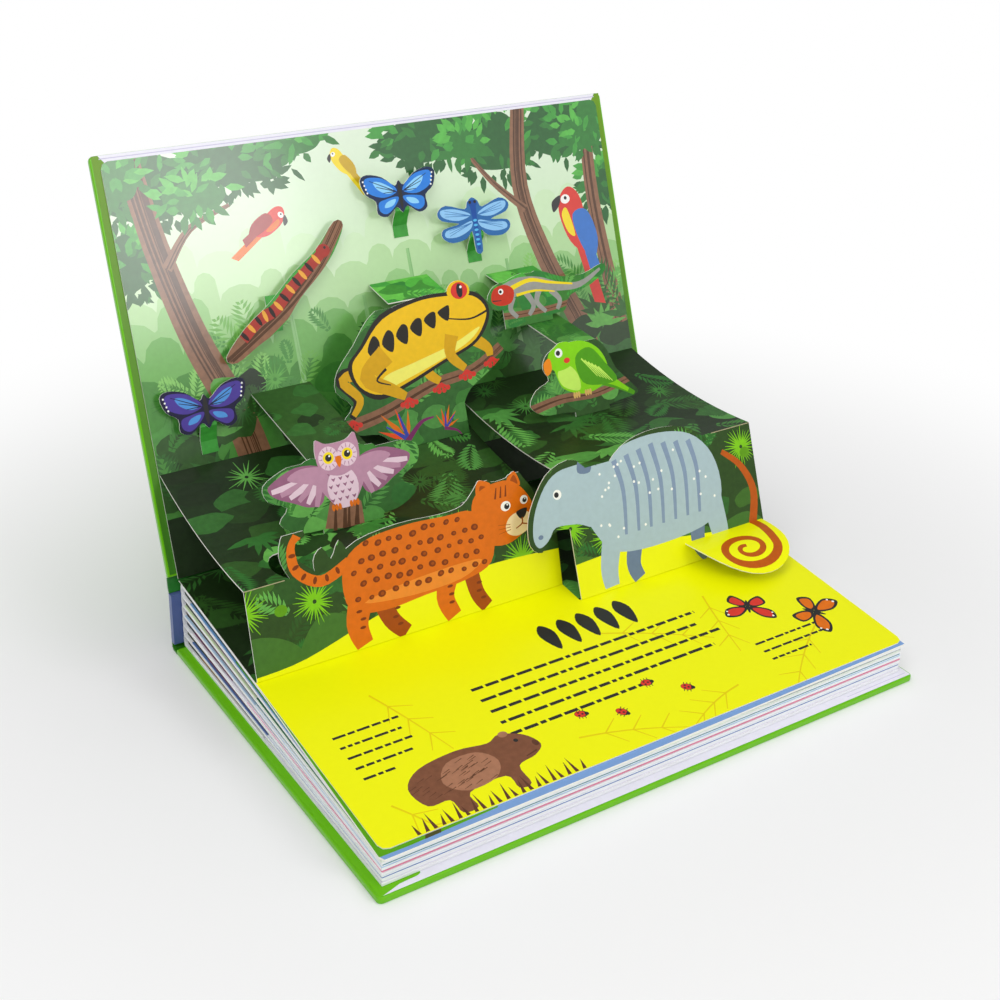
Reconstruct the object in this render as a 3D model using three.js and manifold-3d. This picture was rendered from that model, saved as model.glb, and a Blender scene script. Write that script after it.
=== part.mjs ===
// Pop-up picture book, open like a laptop: a hard case, a block of thick
// card spreads, and a layered paper scene that rises across the open spread.
// Millimetres, +Z up. The origin is the centre of the lower cover's underside,
// X runs along the spine, -Y points to the fore edge.
import * as THREE from 'three';
import { mergeVertices } from 'three/addons/utils/BufferGeometryUtils.js';
import Module from 'manifold-3d';

// Case
const COVER_WIDTH = 240;
const COVER_DEPTH = 170;
const BOARD = 2.5;
const CORNER_RADIUS = 1.6;
const WRAP_ROUNDING = 0.5;
const COVER_JOINT = 5;
const JOINT_STRIP = 0.8;
const SPINE_HEIGHT = 25.8;
const SPINE_BOARD = 2.7;
const SPINE_FOOT = 3.4;

// Opening, in degrees above the closed lower cover
const COVER_ANGLE = 109.25;
const PAGE_SLOPE = 5.2;

// Pages
const PAGE_INSET = 3.6;
const PAGE_DEPTH = 164;
const BACK_LEAF_DEPTH = 164;
const LEAF = 0.45;
const SEAT = 0.3;
const GUTTER_HEIGHT = 31.9;
const GUTTER_SETBACK = 2.3;
const SPREADS = 6;
const BLOCK_CLEARANCE = 0.5;
const FAN_GAP = 2.4;
const FAN_LENGTH = 92;
const FOLD_WALL = 2.2;
const FORE_NOTCH = 0.6;

// Pop-up card
const CARD = 0.5;
const TAB = 8;
const SMALL_TAB = 5;
const EDGE_TRIM = 0.4;

// Side edges of the pages
const LEFT_EDGE = -COVER_WIDTH / 2 + PAGE_INSET;
const RIGHT_EDGE = COVER_WIDTH / 2 - PAGE_INSET;

// Left stage: heights and reaches measured from the gutter along each leaf
const LEFT_START = LEFT_EDGE + EDGE_TRIM;
const LEFT_END = 17.6;
const LEFT_ATTACH = 42;
const LEFT_FOLD_HEIGHT = 34.3;
const LEFT_FOLD_LEAN = 14.5;
const LEFT_BASE = 71.7;
const LEFT_SAG = 3.6;

// Right stage, taller and deeper
const RIGHT_START = 18.4;
const RIGHT_END = RIGHT_EDGE - EDGE_TRIM;
const RIGHT_ATTACH = 48.4;
const RIGHT_FOLD_HEIGHT = 51;
const RIGHT_FOLD_LEAN = 20;
const RIGHT_BASE = 84;
const RIGHT_SAG = 3.4;

// Curled frond on a tongue that springs from the foot of the right wall
const TONGUE_LEFT = RIGHT_EDGE - 43.4;
const TONGUE_RIGHT = RIGHT_EDGE - 1.4;
const TONGUE_RISE = 9;
const TONGUE_REACH = 25;
const TONGUE_TIP = 5;

// Second tier: offset from the back leaf, fold height, middle and width of the strip,
// and the panel height at which the figure's outline is drawn
const OWL = { offset: 48, fold: 39, middle: LEFT_EDGE + 56.4, width: 26, drawn: 26.1 };
const FROG = { offset: 15, fold: 91.5, middle: 1, width: 28, drawn: 60.2 };
const PARAKEET = { offset: 36, fold: 59, middle: RIGHT_EDGE - 51.4, width: 18, drawn: 29 };
const LIZARD = { offset: 10, fold: 90.5, middle: RIGHT_EDGE - 59.9, width: 25, drawn: 20.2 };

// Small cards that stand off the back leaf: centre in X, height on the leaf, size and stand-off
const BLUE_MOTH = { x: 6, height: 134, grow: 0.85, offset: 5 };
const DRAGONFLY = { x: RIGHT_EDGE - 76.4, height: 118, grow: 0.9, offset: 5 };
const VIOLET_MOTH = { x: LEFT_EDGE + 22.4, height: 63, grow: 0.85, offset: 3.4 };
const BRANCH = { x: LEFT_EDGE + 94.4, height: 18, stalkX: -36, stalkTop: 85, offset: 3.6 };
const STALK_WIDTH = 7;
const STALK_LENGTH = 17;
const BRANCH_STALK_LENGTH = 15;
// Lowest point of a figure above the sheet that it stands on
const TOE_GAP = 1.6;

const backEdge = COVER_DEPTH / 2;
const gutterY = backEdge - GUTTER_SETBACK;
const coverTilt = THREE.MathUtils.degToRad(180 - COVER_ANGLE);
const pageTilt = THREE.MathUtils.degToRad(PAGE_SLOPE);

const wasm = await Module();
wasm.setup();

const model = new THREE.Group();
model.name = 'pop_up_book';

const card = (color, roughness = 0.45) => new THREE.MeshStandardMaterial({ color, roughness, metalness: 0 });
const materials = {
  wrapGreen: card(0x52a80f, 0.35),
  wrapBlue: card(0x4a5fa0, 0.4),
  pages: card(0xeef0f4, 0.7),
  yellow: card(0xeef200, 0.4),
  sky: card(0xc4ecae, 0.4),
  jungle: card(0x35601f, 0.4),
  mauve: card(0xb98aa0, 0.4),
  amber: card(0xe8a800, 0.4),
  lime: card(0x7fd000, 0.4),
  olive: card(0x8a8a50, 0.4),
  blue: card(0x3d8fe0, 0.35),
  violet: card(0x5a45a0, 0.35),
  branch: card(0x7a4e2c, 0.5),
};

// Solids

function solid(geometry, matrix = new THREE.Matrix4()) {
  const copy = geometry.clone().applyMatrix4(matrix);
  copy.deleteAttribute('normal');
  copy.deleteAttribute('uv');
  const merged = mergeVertices(copy, 1e-4);
  return new wasm.Manifold(new wasm.Mesh({
    numProp: 3,
    vertProperties: new Float32Array(merged.attributes.position.array),
    triVerts: new Uint32Array(merged.index.array),
  }));
}

function addPiece(name, body, material, parent = model) {
  const { vertProperties, triVerts } = body.getMesh();
  const geometry = new THREE.BufferGeometry();
  geometry.setAttribute('position', new THREE.BufferAttribute(new Float32Array(vertProperties), 3));
  geometry.setIndex(new THREE.BufferAttribute(new Uint32Array(triVerts), 1));
  geometry.computeVertexNormals();
  const mesh = new THREE.Mesh(geometry, material);
  mesh.name = name;
  parent.add(mesh);
  return mesh;
}

// A profile drawn in Y (right) and Z (up), run along X from one side to the other
function alongX(profile, fromX, toX) {
  const axes = new THREE.Matrix4().makeBasis(
    new THREE.Vector3(0, 1, 0), new THREE.Vector3(0, 0, 1), new THREE.Vector3(1, 0, 0),
  ).setPosition(fromX, 0, 0);
  return solid(new THREE.ExtrudeGeometry(profile, { depth: toX - fromX, bevelEnabled: false }), axes);
}

// A flat outline drawn in X and in the distance up a panel, thickened behind its face
function panelCard(outline, foot, top, thickness = CARD) {
  const up = top.clone().sub(foot).normalize();
  const across = new THREE.Vector3(1, 0, 0);
  const out = new THREE.Vector3(0, -up.y, up.x);
  const axes = new THREE.Matrix4().makeBasis(across, new THREE.Vector3(0, up.x, up.y), out);
  axes.setPosition(0, foot.x - out.y * thickness, foot.y - out.z * thickness);
  return solid(new THREE.ExtrudeGeometry(outline, { depth: thickness, bevelEnabled: false }), axes);
}

// Outlines

function polygon(points) {
  return new THREE.Shape(points.map(([x, y]) => new THREE.Vector2(x, y)));
}

// A closed round-cornered outline through a few points, as a die cuts it
function dieCut(points, perSpan = 3) {
  const curve = new THREE.CatmullRomCurve3(points.map(([x, y]) => new THREE.Vector3(x, y, 0)), true, 'centripetal');
  const shape = new THREE.Shape(curve.getPoints(points.length * perSpan).slice(0, -1)
    .map((point) => new THREE.Vector2(point.x, point.y)));
  return shape;
}

const scaled = (points, fromX, fromY, grow = 1) => points.map(([x, y]) => [fromX + x * grow, fromY + y * grow]);

// A bent strip of card: the line is its outer face, the thickness lies to the left of travel
function bentSheet(line, thickness = CARD) {
  const inner = line.map((point, i) => {
    const before = point.clone().sub(line[Math.max(i - 1, 0)]);
    const after = line[Math.min(i + 1, line.length - 1)].clone().sub(point);
    if (before.length() === 0) before.copy(after);
    if (after.length() === 0) after.copy(before);
    const leftBefore = new THREE.Vector2(-before.y, before.x).normalize();
    const leftAfter = new THREE.Vector2(-after.y, after.x).normalize();
    const mitre = leftBefore.clone().add(leftAfter).normalize();
    return point.clone().addScaledVector(mitre, thickness / mitre.dot(leftAfter));
  });
  return new THREE.Shape([...line, ...inner.reverse()]);
}

// Places on the two open leaves, in the Y and Z plane

function backPoint(height, offset) {
  const up = new THREE.Vector2(Math.cos(coverTilt), Math.sin(coverTilt));
  const out = new THREE.Vector2(-Math.sin(coverTilt), Math.cos(coverTilt));
  return new THREE.Vector2(gutterY, GUTTER_HEIGHT).addScaledVector(up, height).addScaledVector(out, offset);
}

function pagePoint(reach, lift) {
  const forward = new THREE.Vector2(-Math.cos(pageTilt), -Math.sin(pageTilt));
  const out = new THREE.Vector2(-Math.sin(pageTilt), Math.cos(pageTilt));
  return new THREE.Vector2(gutterY, GUTTER_HEIGHT).addScaledVector(forward, reach).addScaledVector(out, lift);
}

// The platform of a stage bows down a little between its two folds
function bowed(from, to, sag, steps = 8) {
  const middle = from.clone().add(to).multiplyScalar(0.5);
  const down = new THREE.Vector2(to.y - from.y, from.x - to.x).normalize();
  if (down.y > 0) down.negate();
  const control = middle.addScaledVector(down, 2 * sag);
  return new THREE.QuadraticBezierCurve(from, control, to).getPoints(steps);
}

// Case: two wrapped boards and the spine between them

function wrappedBoard(fromY, toY, underside) {
  const halfX = COVER_WIDTH / 2 - WRAP_ROUNDING;
  const low = fromY + WRAP_ROUNDING;
  const high = toY - WRAP_ROUNDING;
  const r = CORNER_RADIUS;
  const outline = new THREE.Shape();
  outline.moveTo(-halfX + r, low);
  outline.lineTo(halfX - r, low);
  outline.absarc(halfX - r, low + r, r, -Math.PI / 2, 0, false);
  outline.lineTo(halfX, high);
  outline.lineTo(-halfX, high);
  outline.absarc(-halfX + r, low + r, r, Math.PI, Math.PI * 1.5, false);
  const geometry = new THREE.ExtrudeGeometry(outline, {
    depth: BOARD - 2 * WRAP_ROUNDING,
    bevelThickness: WRAP_ROUNDING,
    bevelSize: WRAP_ROUNDING,
    bevelSegments: 2,
    curveSegments: 4,
  });
  return solid(geometry, new THREE.Matrix4().makeTranslation(0, 0, underside + WRAP_ROUNDING));
}

addPiece('lower_cover', wrappedBoard(-backEdge, backEdge - COVER_JOINT, 0), materials.wrapGreen);

const spineProfile = polygon([
  [backEdge - COVER_JOINT + SEAT, 0],
  [backEdge - 1.2, 0],
  [backEdge, 1.2],
  [backEdge, SPINE_HEIGHT],
  [backEdge - SPINE_BOARD, SPINE_HEIGHT],
  [backEdge - SPINE_BOARD, SPINE_FOOT],
  [backEdge - JOINT_STRIP, SPINE_FOOT],
  [backEdge - JOINT_STRIP, 1.6],
  [backEdge - 1.6, JOINT_STRIP],
  [backEdge - COVER_JOINT + SEAT, JOINT_STRIP],
]);
addPiece('spine', alongX(spineProfile, -COVER_WIDTH / 2, COVER_WIDTH / 2), materials.wrapBlue);

// The upper cover and all that is glued to it alone hang on the gutter line
const upper = new THREE.Group();
upper.position.set(0, gutterY, GUTTER_HEIGHT);
upper.rotation.x = coverTilt;
model.add(upper);

const coverFace = -LEAF - SEAT;
const hingeDrop = Math.sin(coverTilt) * (GUTTER_HEIGHT - SPINE_HEIGHT - BOARD);
const boardStart = COVER_JOINT - hingeDrop;
const boardEnd = COVER_DEPTH - hingeDrop;
addPiece('upper_cover', wrappedBoard(-boardEnd, -boardStart, 0)
  .rotate([0, 0, 180]).translate([0, 0, coverFace - BOARD]), materials.wrapGreen, upper);

// The wrap bridges the gap between the spine and the upper board
const boardFoot = backPoint(boardStart - SEAT, coverFace - BOARD);
const jointLine = [
  new THREE.Vector2(backEdge, SPINE_HEIGHT + SEAT),
  new THREE.Vector2(backEdge + 0.1, SPINE_HEIGHT + 2.6),
  boardFoot,
];
addPiece('upper_joint', alongX(bentSheet(jointLine, JOINT_STRIP), -COVER_WIDTH / 2, COVER_WIDTH / 2), materials.wrapBlue);

// Pages: the leaves are fused at the fore edge and fan apart towards the spine

const blockBottom = BOARD + SEAT;
const topLift = -LEAF - SEAT;
const foreTop = pagePoint(PAGE_DEPTH, topLift);
const spineTop = pagePoint(BLOCK_CLEARANCE, topLift);
const foreY = foreTop.x;
const spineY = backEdge - SPINE_BOARD - BLOCK_CLEARANCE;
const leafFore = (foreTop.y - blockBottom) / SPREADS;
const leafSpine = (spineTop.y - blockBottom) / SPREADS;

function pageBlock() {
  const outline = new THREE.Shape();
  outline.moveTo(foreY, blockBottom);
  outline.lineTo(spineY - 1.2, blockBottom);
  for (let i = 0; i < SPREADS; i += 1) {
    const low = blockBottom + i * leafSpine;
    const high = low + leafSpine;
    outline.quadraticCurveTo(spineY + 0.8, (low + high) / 2, spineY - 1.2, high);
  }
  for (let i = SPREADS; i > 0; i -= 1) {
    const high = blockBottom + i * leafFore;
    outline.lineTo(foreY + FORE_NOTCH, high);
    outline.lineTo(foreY, high - 0.15);
    outline.lineTo(foreY, high - leafFore + 0.15);
  }
  const leafRise = (leafSpine - leafFore) / (spineY - foreY);
  for (let i = 1; i < SPREADS; i += 1) {
    const seam = (y) => blockBottom + i * (leafFore + leafRise * (y - foreY));
    const start = spineY - FOLD_WALL;
    const middle = start - FAN_LENGTH * 0.28;
    const end = start - FAN_LENGTH;
    const gap = new THREE.Path();
    gap.moveTo(start, seam(start));
    gap.quadraticCurveTo(middle, seam(middle) + FAN_GAP, end, seam(end));
    gap.quadraticCurveTo(middle, seam(middle) - FAN_GAP * 0.15, start, seam(start));
    outline.holes.push(gap);
  }
  const geometryProfile = new THREE.Shape(outline.getPoints(5));
  geometryProfile.holes = outline.holes.map((hole) => new THREE.Path(hole.getPoints(6).slice(0, -1)));
  return alongX(geometryProfile, LEFT_EDGE, RIGHT_EDGE);
}
addPiece('page_block', pageBlock(), materials.pages);

const frontPage = new THREE.Group();
frontPage.position.set(0, gutterY, GUTTER_HEIGHT);
frontPage.rotation.x = pageTilt;
model.add(frontPage);

function leaf(depth, cornerRadius = 3) {
  const outline = new THREE.Shape();
  outline.moveTo(LEFT_EDGE, SEAT);
  outline.lineTo(RIGHT_EDGE, SEAT);
  outline.lineTo(RIGHT_EDGE, depth - cornerRadius);
  outline.absarc(RIGHT_EDGE - cornerRadius, depth - cornerRadius, cornerRadius, 0, Math.PI / 2, false);
  outline.absarc(LEFT_EDGE + cornerRadius, depth - cornerRadius, cornerRadius, Math.PI / 2, Math.PI, false);
  const geometry = new THREE.ExtrudeGeometry(outline, { depth: LEAF, bevelEnabled: false, curveSegments: 3 });
  return solid(geometry, new THREE.Matrix4().makeTranslation(0, 0, -LEAF));
}
addPiece('front_leaf', leaf(PAGE_DEPTH).rotate([0, 0, 180]), materials.yellow, frontPage);
addPiece('back_leaf', leaf(BACK_LEAF_DEPTH), materials.sky, upper);

// Stages: one folded sheet each, glued to both leaves by tabs turned under

function stageFolds(attach, base, foldHeight, lean) {
  const foot = pagePoint(base, SEAT);
  const fold = foot.clone().add(new THREE.Vector2(
    Math.sin(THREE.MathUtils.degToRad(lean)) * foldHeight,
    Math.cos(THREE.MathUtils.degToRad(lean)) * foldHeight,
  ));
  return { top: backPoint(attach, SEAT), fold, foot };
}

function stageSheet({ top, fold, foot }, attach, base, sag, fromX, toX) {
  const line = [backPoint(attach - TAB, SEAT), ...bowed(top, fold, sag), foot, pagePoint(base - TAB, SEAT)];
  return alongX(bentSheet(line), fromX, toX);
}

// The opening that a die-cut figure leaves in the platform when it stands up
function platformNotch(outline, { top, fold }) {
  return panelCard(outline, fold, top, 20).translate([0, 0, 8]);
}

const leftFolds = stageFolds(LEFT_ATTACH, LEFT_BASE, LEFT_FOLD_HEIGHT, LEFT_FOLD_LEAN);
const rightFolds = stageFolds(RIGHT_ATTACH, RIGHT_BASE, RIGHT_FOLD_HEIGHT, RIGHT_FOLD_LEAN);

// Big cat: the parts of its back, head and tail that rise above the left fold
const catBack = [
  [-78, -6], [-79, 1], [-70, 7], [-52, 9], [-34, 8], [-24, 9], [-18, 14], [-14, 18], [-10, 15],
  [-3, 15], [1, 18], [5, 13], [9, 6], [10, -6], [-20, -12], [-60, -12],
];
const catTail = [
  [-92, -8], [-98, 0], [-101, 9], [-98, 17], [-92, 18], [-90, 14], [-94, 12], [-94, 6], [-88, 0], [-84, -8],
];
// Fern clump at the far left of the left fold
const leftFern = [[-86, -4], [-88, 4], [-84, 8], [-81, 3], [-77, 9], [-74, 3], [-74, -4]];

const tapirBack = [[38, -8], [42, 0], [52, 6], [66, 8], [80, 6], [90, 0], [94, -8], [66, -14]];
const tapirHead = [[26, 4], [14, 3], [6, -4], [0, -14], [-1, -24], [4, -28], [10, -22], [18, -22], [28, -26], [34, -10]];

function aboveFold(points, foldHeight) {
  return dieCut(scaled(points, 0, foldHeight));
}

function notchShape(points) {
  const shape = dieCut(points.map(([x, y]) => [x, Math.max(y, -0.6)]));
  return shape;
}

let leftStage = stageSheet(leftFolds, LEFT_ATTACH, LEFT_BASE, LEFT_SAG, LEFT_START, LEFT_END);
for (const part of [catBack, catTail]) {
  leftStage = leftStage.subtract(platformNotch(notchShape(part), leftFolds));
}
for (const part of [catBack, catTail, leftFern]) {
  leftStage = leftStage.add(panelCard(aboveFold(part, LEFT_FOLD_HEIGHT), leftFolds.foot, leftFolds.fold));
}
addPiece('left_stage', leftStage, materials.jungle);

let rightStage = stageSheet(rightFolds, RIGHT_ATTACH, RIGHT_BASE, RIGHT_SAG, RIGHT_START, RIGHT_END);
rightStage = rightStage.subtract(platformNotch(notchShape(tapirBack), rightFolds));
for (const part of [tapirBack, tapirHead]) {
  rightStage = rightStage.add(panelCard(aboveFold(part, RIGHT_FOLD_HEIGHT), rightFolds.foot, rightFolds.fold));
}

// Tongue: leaves the wall at a crease and curls forward over the page
function tongue() {
  const rise = TONGUE_RISE / RIGHT_FOLD_HEIGHT;
  const root = rightFolds.foot.clone().lerp(rightFolds.fold, rise);
  const tip = pagePoint(RIGHT_BASE + TONGUE_REACH, TONGUE_TIP);
  const control = root.clone().lerp(tip, 0.55).add(new THREE.Vector2(0, 5));
  const line = new THREE.QuadraticBezierCurve(root, control, tip).getPoints(8);
  const ribbon = alongX(bentSheet(line), TONGUE_LEFT, TONGUE_RIGHT);
  const span = TONGUE_RIGHT - TONGUE_LEFT;
  const trim = new THREE.Shape();
  trim.moveTo(TONGUE_LEFT, -root.x - 2);
  trim.lineTo(TONGUE_RIGHT, -root.x - 2);
  trim.lineTo(TONGUE_RIGHT, -root.x + TONGUE_REACH * 0.35);
  trim.quadraticCurveTo(TONGUE_RIGHT, -tip.x, TONGUE_RIGHT - span * 0.45, -tip.x);
  trim.quadraticCurveTo(TONGUE_LEFT + span * 0.1, -tip.x, TONGUE_LEFT, -root.x + 2);
  const down = new THREE.Matrix4().makeRotationX(Math.PI).setPosition(0, 0, root.y + 20);
  const prism = solid(new THREE.ExtrudeGeometry(trim, { depth: root.y + 20, bevelEnabled: false, curveSegments: 8 }), down);
  return ribbon.intersect(prism);
}
addPiece('right_stage', rightStage.add(tongue()), materials.jungle);

// Second tier: strips that run parallel to the platform and turn down into a figure

function tierFolds(tier, carrierTop, carrierFold) {
  const slope = carrierFold.clone().sub(carrierTop);
  const perOffset = backPoint(0, 1).sub(backPoint(0, 0));
  const reach = tier.offset / slope.dot(perOffset);
  const fold = backPoint(tier.fold, tier.offset);
  return { top: fold.clone().addScaledVector(slope, -reach), fold };
}

// Height on the back leaf of a point
const heightOf = (point) => point.clone().sub(backPoint(0, 0)).dot(backPoint(1, 0).sub(backPoint(0, 0)));

function lineAt(points, offset) {
  const away = (point) => point.clone().sub(backPoint(0, 0)).dot(backPoint(0, 1).sub(backPoint(0, 0)));
  for (let i = 1; i < points.length; i += 1) {
    const near = away(points[i - 1]);
    const far = away(points[i]);
    if (offset >= near && offset <= far) return points[i - 1].clone().lerp(points[i], (offset - near) / (far - near));
  }
  return points[points.length - 1].clone();
}

// A figure keeps its proportions when its panel gets taller, and its toes keep their gap
function figureOutline(points, { middle, drawn }, panelHeight) {
  const grow = panelHeight / drawn;
  return points.map(([x, y]) => [middle + x * grow, TOE_GAP + (y - TOE_GAP) * grow]);
}

function tierPiece(tier, carrier, outline) {
  const { top, fold } = tierFolds(tier, carrier[0], carrier[carrier.length - 1]);
  const topHeight = heightOf(top);
  const start = backPoint(topHeight, SEAT);
  const along = carrier[carrier.length - 1].clone().sub(carrier[0]).normalize();
  const lift = new THREE.Vector2(along.y, -along.x).multiplyScalar(SEAT);
  if (lift.y < 0) lift.negate();
  const foot = lineAt(carrier, tier.offset).add(lift);
  const tabEnd = lineAt(carrier, tier.offset - SMALL_TAB).add(lift);
  const line = [backPoint(topHeight - SMALL_TAB, SEAT), start, fold, foot, tabEnd];
  const strip = alongX(bentSheet(line), tier.middle - tier.width / 2, tier.middle + tier.width / 2);
  const figure = panelCard(dieCut(figureOutline(outline, tier, fold.distanceTo(foot))), foot, fold);
  return { body: strip.add(figure), start, fold, foot };
}

const leftPlatform = bowed(leftFolds.top, leftFolds.fold, LEFT_SAG);
const rightPlatform = bowed(rightFolds.top, rightFolds.fold, RIGHT_SAG);

// Owl with half-spread wings on a stump, ferns at both sides
const owl = tierPiece(OWL, leftPlatform, [
  [-14, TOE_GAP], [-24, 3], [-30, 8], [-26, 13], [-33, 17], [-34, 23.1], [-26, 27.1], [-18, 29.1],
  [-12, 30.1], [-10, 36.1], [-6, 34.1], [2, 34.1], [6, 36.1], [8, 30.1], [15, 29.1], [24, 28.1], [32, 25.1],
  [31, 18], [23, 13], [29, 8], [22, 3], [12, TOE_GAP],
]);
addPiece('owl_panel', owl.body, materials.mauve);

// Tree frog on a branch above a flower
const frog = tierPiece(FROG, leftPlatform, [
  [-9, TOE_GAP], [-21, 3], [-28, 8], [-38, 10], [-43, 16], [-38, 22], [-44, 29], [-42, 37], [-33, 46.2],
  [-25, 55.2], [-16, 60.2], [-5, 62.2], [7, 61.7], [13, 62.2], [19, 64.7], [25, 61.2], [31, 55.2],
  [35, 49.2], [32, 40.2], [36, 33.2], [37, 30], [29, 24], [18, 18], [13, 11], [11, 5], [7, TOE_GAP],
]);
addPiece('frog_panel', frog.body, materials.amber);

// Parakeet on a twig, its tail to the right
const parakeet = tierPiece(PARAKEET, rightPlatform, [
  [-5, TOE_GAP], [-15, 3], [-25, 4], [-31, 9], [-27, 15], [-20, 18], [-22, 23], [-20, 28], [-15, 31],
  [-9, 34], [-1, 34], [7, 31], [12, 25], [15, 17], [21, 10], [25, 4], [15, 2.6], [5, TOE_GAP],
]);
addPiece('parakeet_panel', parakeet.body, materials.lime);

// Lizard strip, carried by the parakeet's strip
const parakeetStrip = [parakeet.start, parakeet.fold];
const lizard = tierPiece(LIZARD, parakeetStrip, [
  [-2.5, 2.4], [-6.5, 2.4], [-11.5, 3], [-10.5, 8], [-16.5, 9], [-19.5, 14], [-15.5, 19.2], [-8.5, 20.7],
  [-0.5, 22.7], [9.5, 22.2], [19.5, 18.2], [31.5, 17.2], [42.5, 20.2], [44.5, 17.2], [35.5, 12], [23.5, 9],
  [19.5, 3], [14.5, 2.4], [9.5, 2.4],
]);
addPiece('lizard_panel', lizard.body, materials.olive);

// Small cards glued to the back leaf by a curved stalk

function standOffCard(outline, stalkX, stalkTop, stalkLength, offset) {
  const foot = stalkTop - stalkLength;
  const line = [
    [foot, SEAT], [foot + SMALL_TAB, SEAT], [foot + SMALL_TAB + 3, offset * 0.45], [foot + SMALL_TAB + 6, offset],
    [stalkTop, offset],
  ].map(([y, z]) => new THREE.Vector2(y, z));
  const stalk = alongX(bentSheet(line), stalkX - STALK_WIDTH / 2, stalkX + STALK_WIDTH / 2);
  const face = new THREE.ExtrudeGeometry(outline, { depth: CARD, bevelEnabled: false });
  return stalk.add(solid(face, new THREE.Matrix4().makeTranslation(0, 0, offset)));
}

const mothWings = [
  [0, -8], [-3, -5], [-9, -9], [-14, -7], [-14, -1], [-19, 3], [-21, 10], [-17, 12.5], [-9, 10.5], [-2.5, 5.5],
  [0, 8], [2.5, 5.5], [9, 10.5], [17, 12.5], [21, 10], [19, 3], [14, -1], [14, -7], [9, -9], [3, -5],
];
const dragonflyWings = [
  [-1.8, -14], [-2.4, -4], [-6, -7], [-14, -8], [-19, -5], [-18, -1], [-9, 0.5], [-18, 3], [-20, 7], [-15, 10],
  [-5, 7], [-3, 10], [0, 12], [3, 10], [5, 7], [15, 10], [20, 7], [18, 3], [9, 0.5], [18, -1], [19, -5], [14, -8],
  [6, -7], [2.4, -4], [1.8, -14],
];

function insectCard(name, wings, { x, height, grow, offset }, material) {
  const outline = dieCut(scaled(wings, x, height, grow), 2);
  addPiece(name, standOffCard(outline, x, height, STALK_LENGTH, offset), material, upper);
}
insectCard('blue_moth', mothWings, BLUE_MOTH, materials.blue);
insectCard('dragonfly', dragonflyWings, DRAGONFLY, materials.blue);
insectCard('violet_moth', mothWings, VIOLET_MOTH, materials.violet);

// Branch with a banded larva
const branchOutline = [
  [-60, 64], [-50, 74], [-38, 82], [-26, 92], [-14, 100], [-4, 110], [0, 108], [-6, 98], [-14, 90], [-24, 82],
  [-34, 72], [-46, 66], [-56, 61],
];
const branchCard = dieCut(scaled(branchOutline, BRANCH.x, BRANCH.height));
const branchStalkX = BRANCH.x + BRANCH.stalkX;
const branchStalkTop = BRANCH.height + BRANCH.stalkTop;
addPiece('larva_branch', standOffCard(
  branchCard, branchStalkX, branchStalkTop, BRANCH_STALK_LENGTH, BRANCH.offset,
), materials.branch, upper);

export default model;
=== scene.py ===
import bpy
import math
import random
import numpy as np
from mathutils import Matrix, Vector
from mathutils.geometry import delaunay_2d_cdt


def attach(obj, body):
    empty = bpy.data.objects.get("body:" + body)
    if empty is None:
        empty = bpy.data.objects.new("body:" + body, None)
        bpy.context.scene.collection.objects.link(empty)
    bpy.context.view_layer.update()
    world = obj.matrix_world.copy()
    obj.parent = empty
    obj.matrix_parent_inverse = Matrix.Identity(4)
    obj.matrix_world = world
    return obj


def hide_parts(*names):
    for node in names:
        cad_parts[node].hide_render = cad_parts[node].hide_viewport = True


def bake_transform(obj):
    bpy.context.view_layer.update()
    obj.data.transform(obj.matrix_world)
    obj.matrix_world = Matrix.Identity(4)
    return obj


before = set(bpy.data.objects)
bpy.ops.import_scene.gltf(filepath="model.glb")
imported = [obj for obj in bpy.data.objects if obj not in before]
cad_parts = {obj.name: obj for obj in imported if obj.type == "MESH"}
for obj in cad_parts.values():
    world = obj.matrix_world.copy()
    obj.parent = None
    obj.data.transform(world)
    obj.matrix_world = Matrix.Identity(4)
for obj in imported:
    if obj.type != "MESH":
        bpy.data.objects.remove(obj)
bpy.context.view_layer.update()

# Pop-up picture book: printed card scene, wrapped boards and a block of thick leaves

MM = 0.001

# Sizes of the book in millimetres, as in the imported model
COVER_WIDTH = 240
COVER_DEPTH = 170
BOARD = 2.5
PAGE_INSET = 3.6
PAGE_DEPTH = 164
LEAF = 0.45
SEAT = 0.3
CARD = 0.5
SPINE_FOOT = 3.4
OPENING_ANGLE = 109.25
COVER_TILT = math.radians(180 - OPENING_ANGLE)
PAGE_TILT = math.radians(5.2)
GUTTER = (82.7, 31.9)
SPREADS = 6
PAGE_HALF = COVER_WIDTH / 2 - PAGE_INSET

# Stages: height of the fold on the back leaf, reach of the foot on the page, height and lean of the wall in
# degrees, bow of the platform and span in X; then the direction and the two reaches from the gutter, between
# which a stage turns with the cover
FIELD = math.radians(32)
LEFT = dict(attach=42, base=71.7, wall=34.3, lean=14.5, sag=3.6, span=(-116, 17.6), field=FIELD,
            turn=(-70, 38))
RIGHT = dict(attach=48.4, base=84, wall=51, lean=20, sag=3.4, span=(18.4, 116), field=FIELD, turn=(-82, 46))

# Tongue on the right wall: span in X, rise of its root, reach over the page and lift of its tip
TONGUE = dict(left=73, right=115, rise=9, reach=25, tip=5)

# Second tier: offset from the back leaf, fold height and fold span
OWL = dict(offset=48, fold=39, span=(-73, -47))
FROG = dict(offset=15, fold=91.5, span=(-13, 15))
PARAKEET = dict(offset=36, fold=59, span=(56, 74))
LIZARD = dict(offset=10, fold=90.5, span=(44, 69))

# Small cards on the back leaf: centre in X, height, size and stand-off; width and lengths of their stalks
BLUE_MOTH = dict(x=6, height=134, grow=0.85, offset=5)
DRAGONFLY = dict(x=40, height=118, grow=0.9, offset=5)
VIOLET_MOTH = dict(x=-94, height=63, grow=0.85, offset=3.4)
BRANCH = dict(x=-22, height=18, stalk=-58, top=103, offset=3.6)
STALK_WIDTH = 7
INSECT_STALK = 17
BRANCH_STALK = 15

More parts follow.
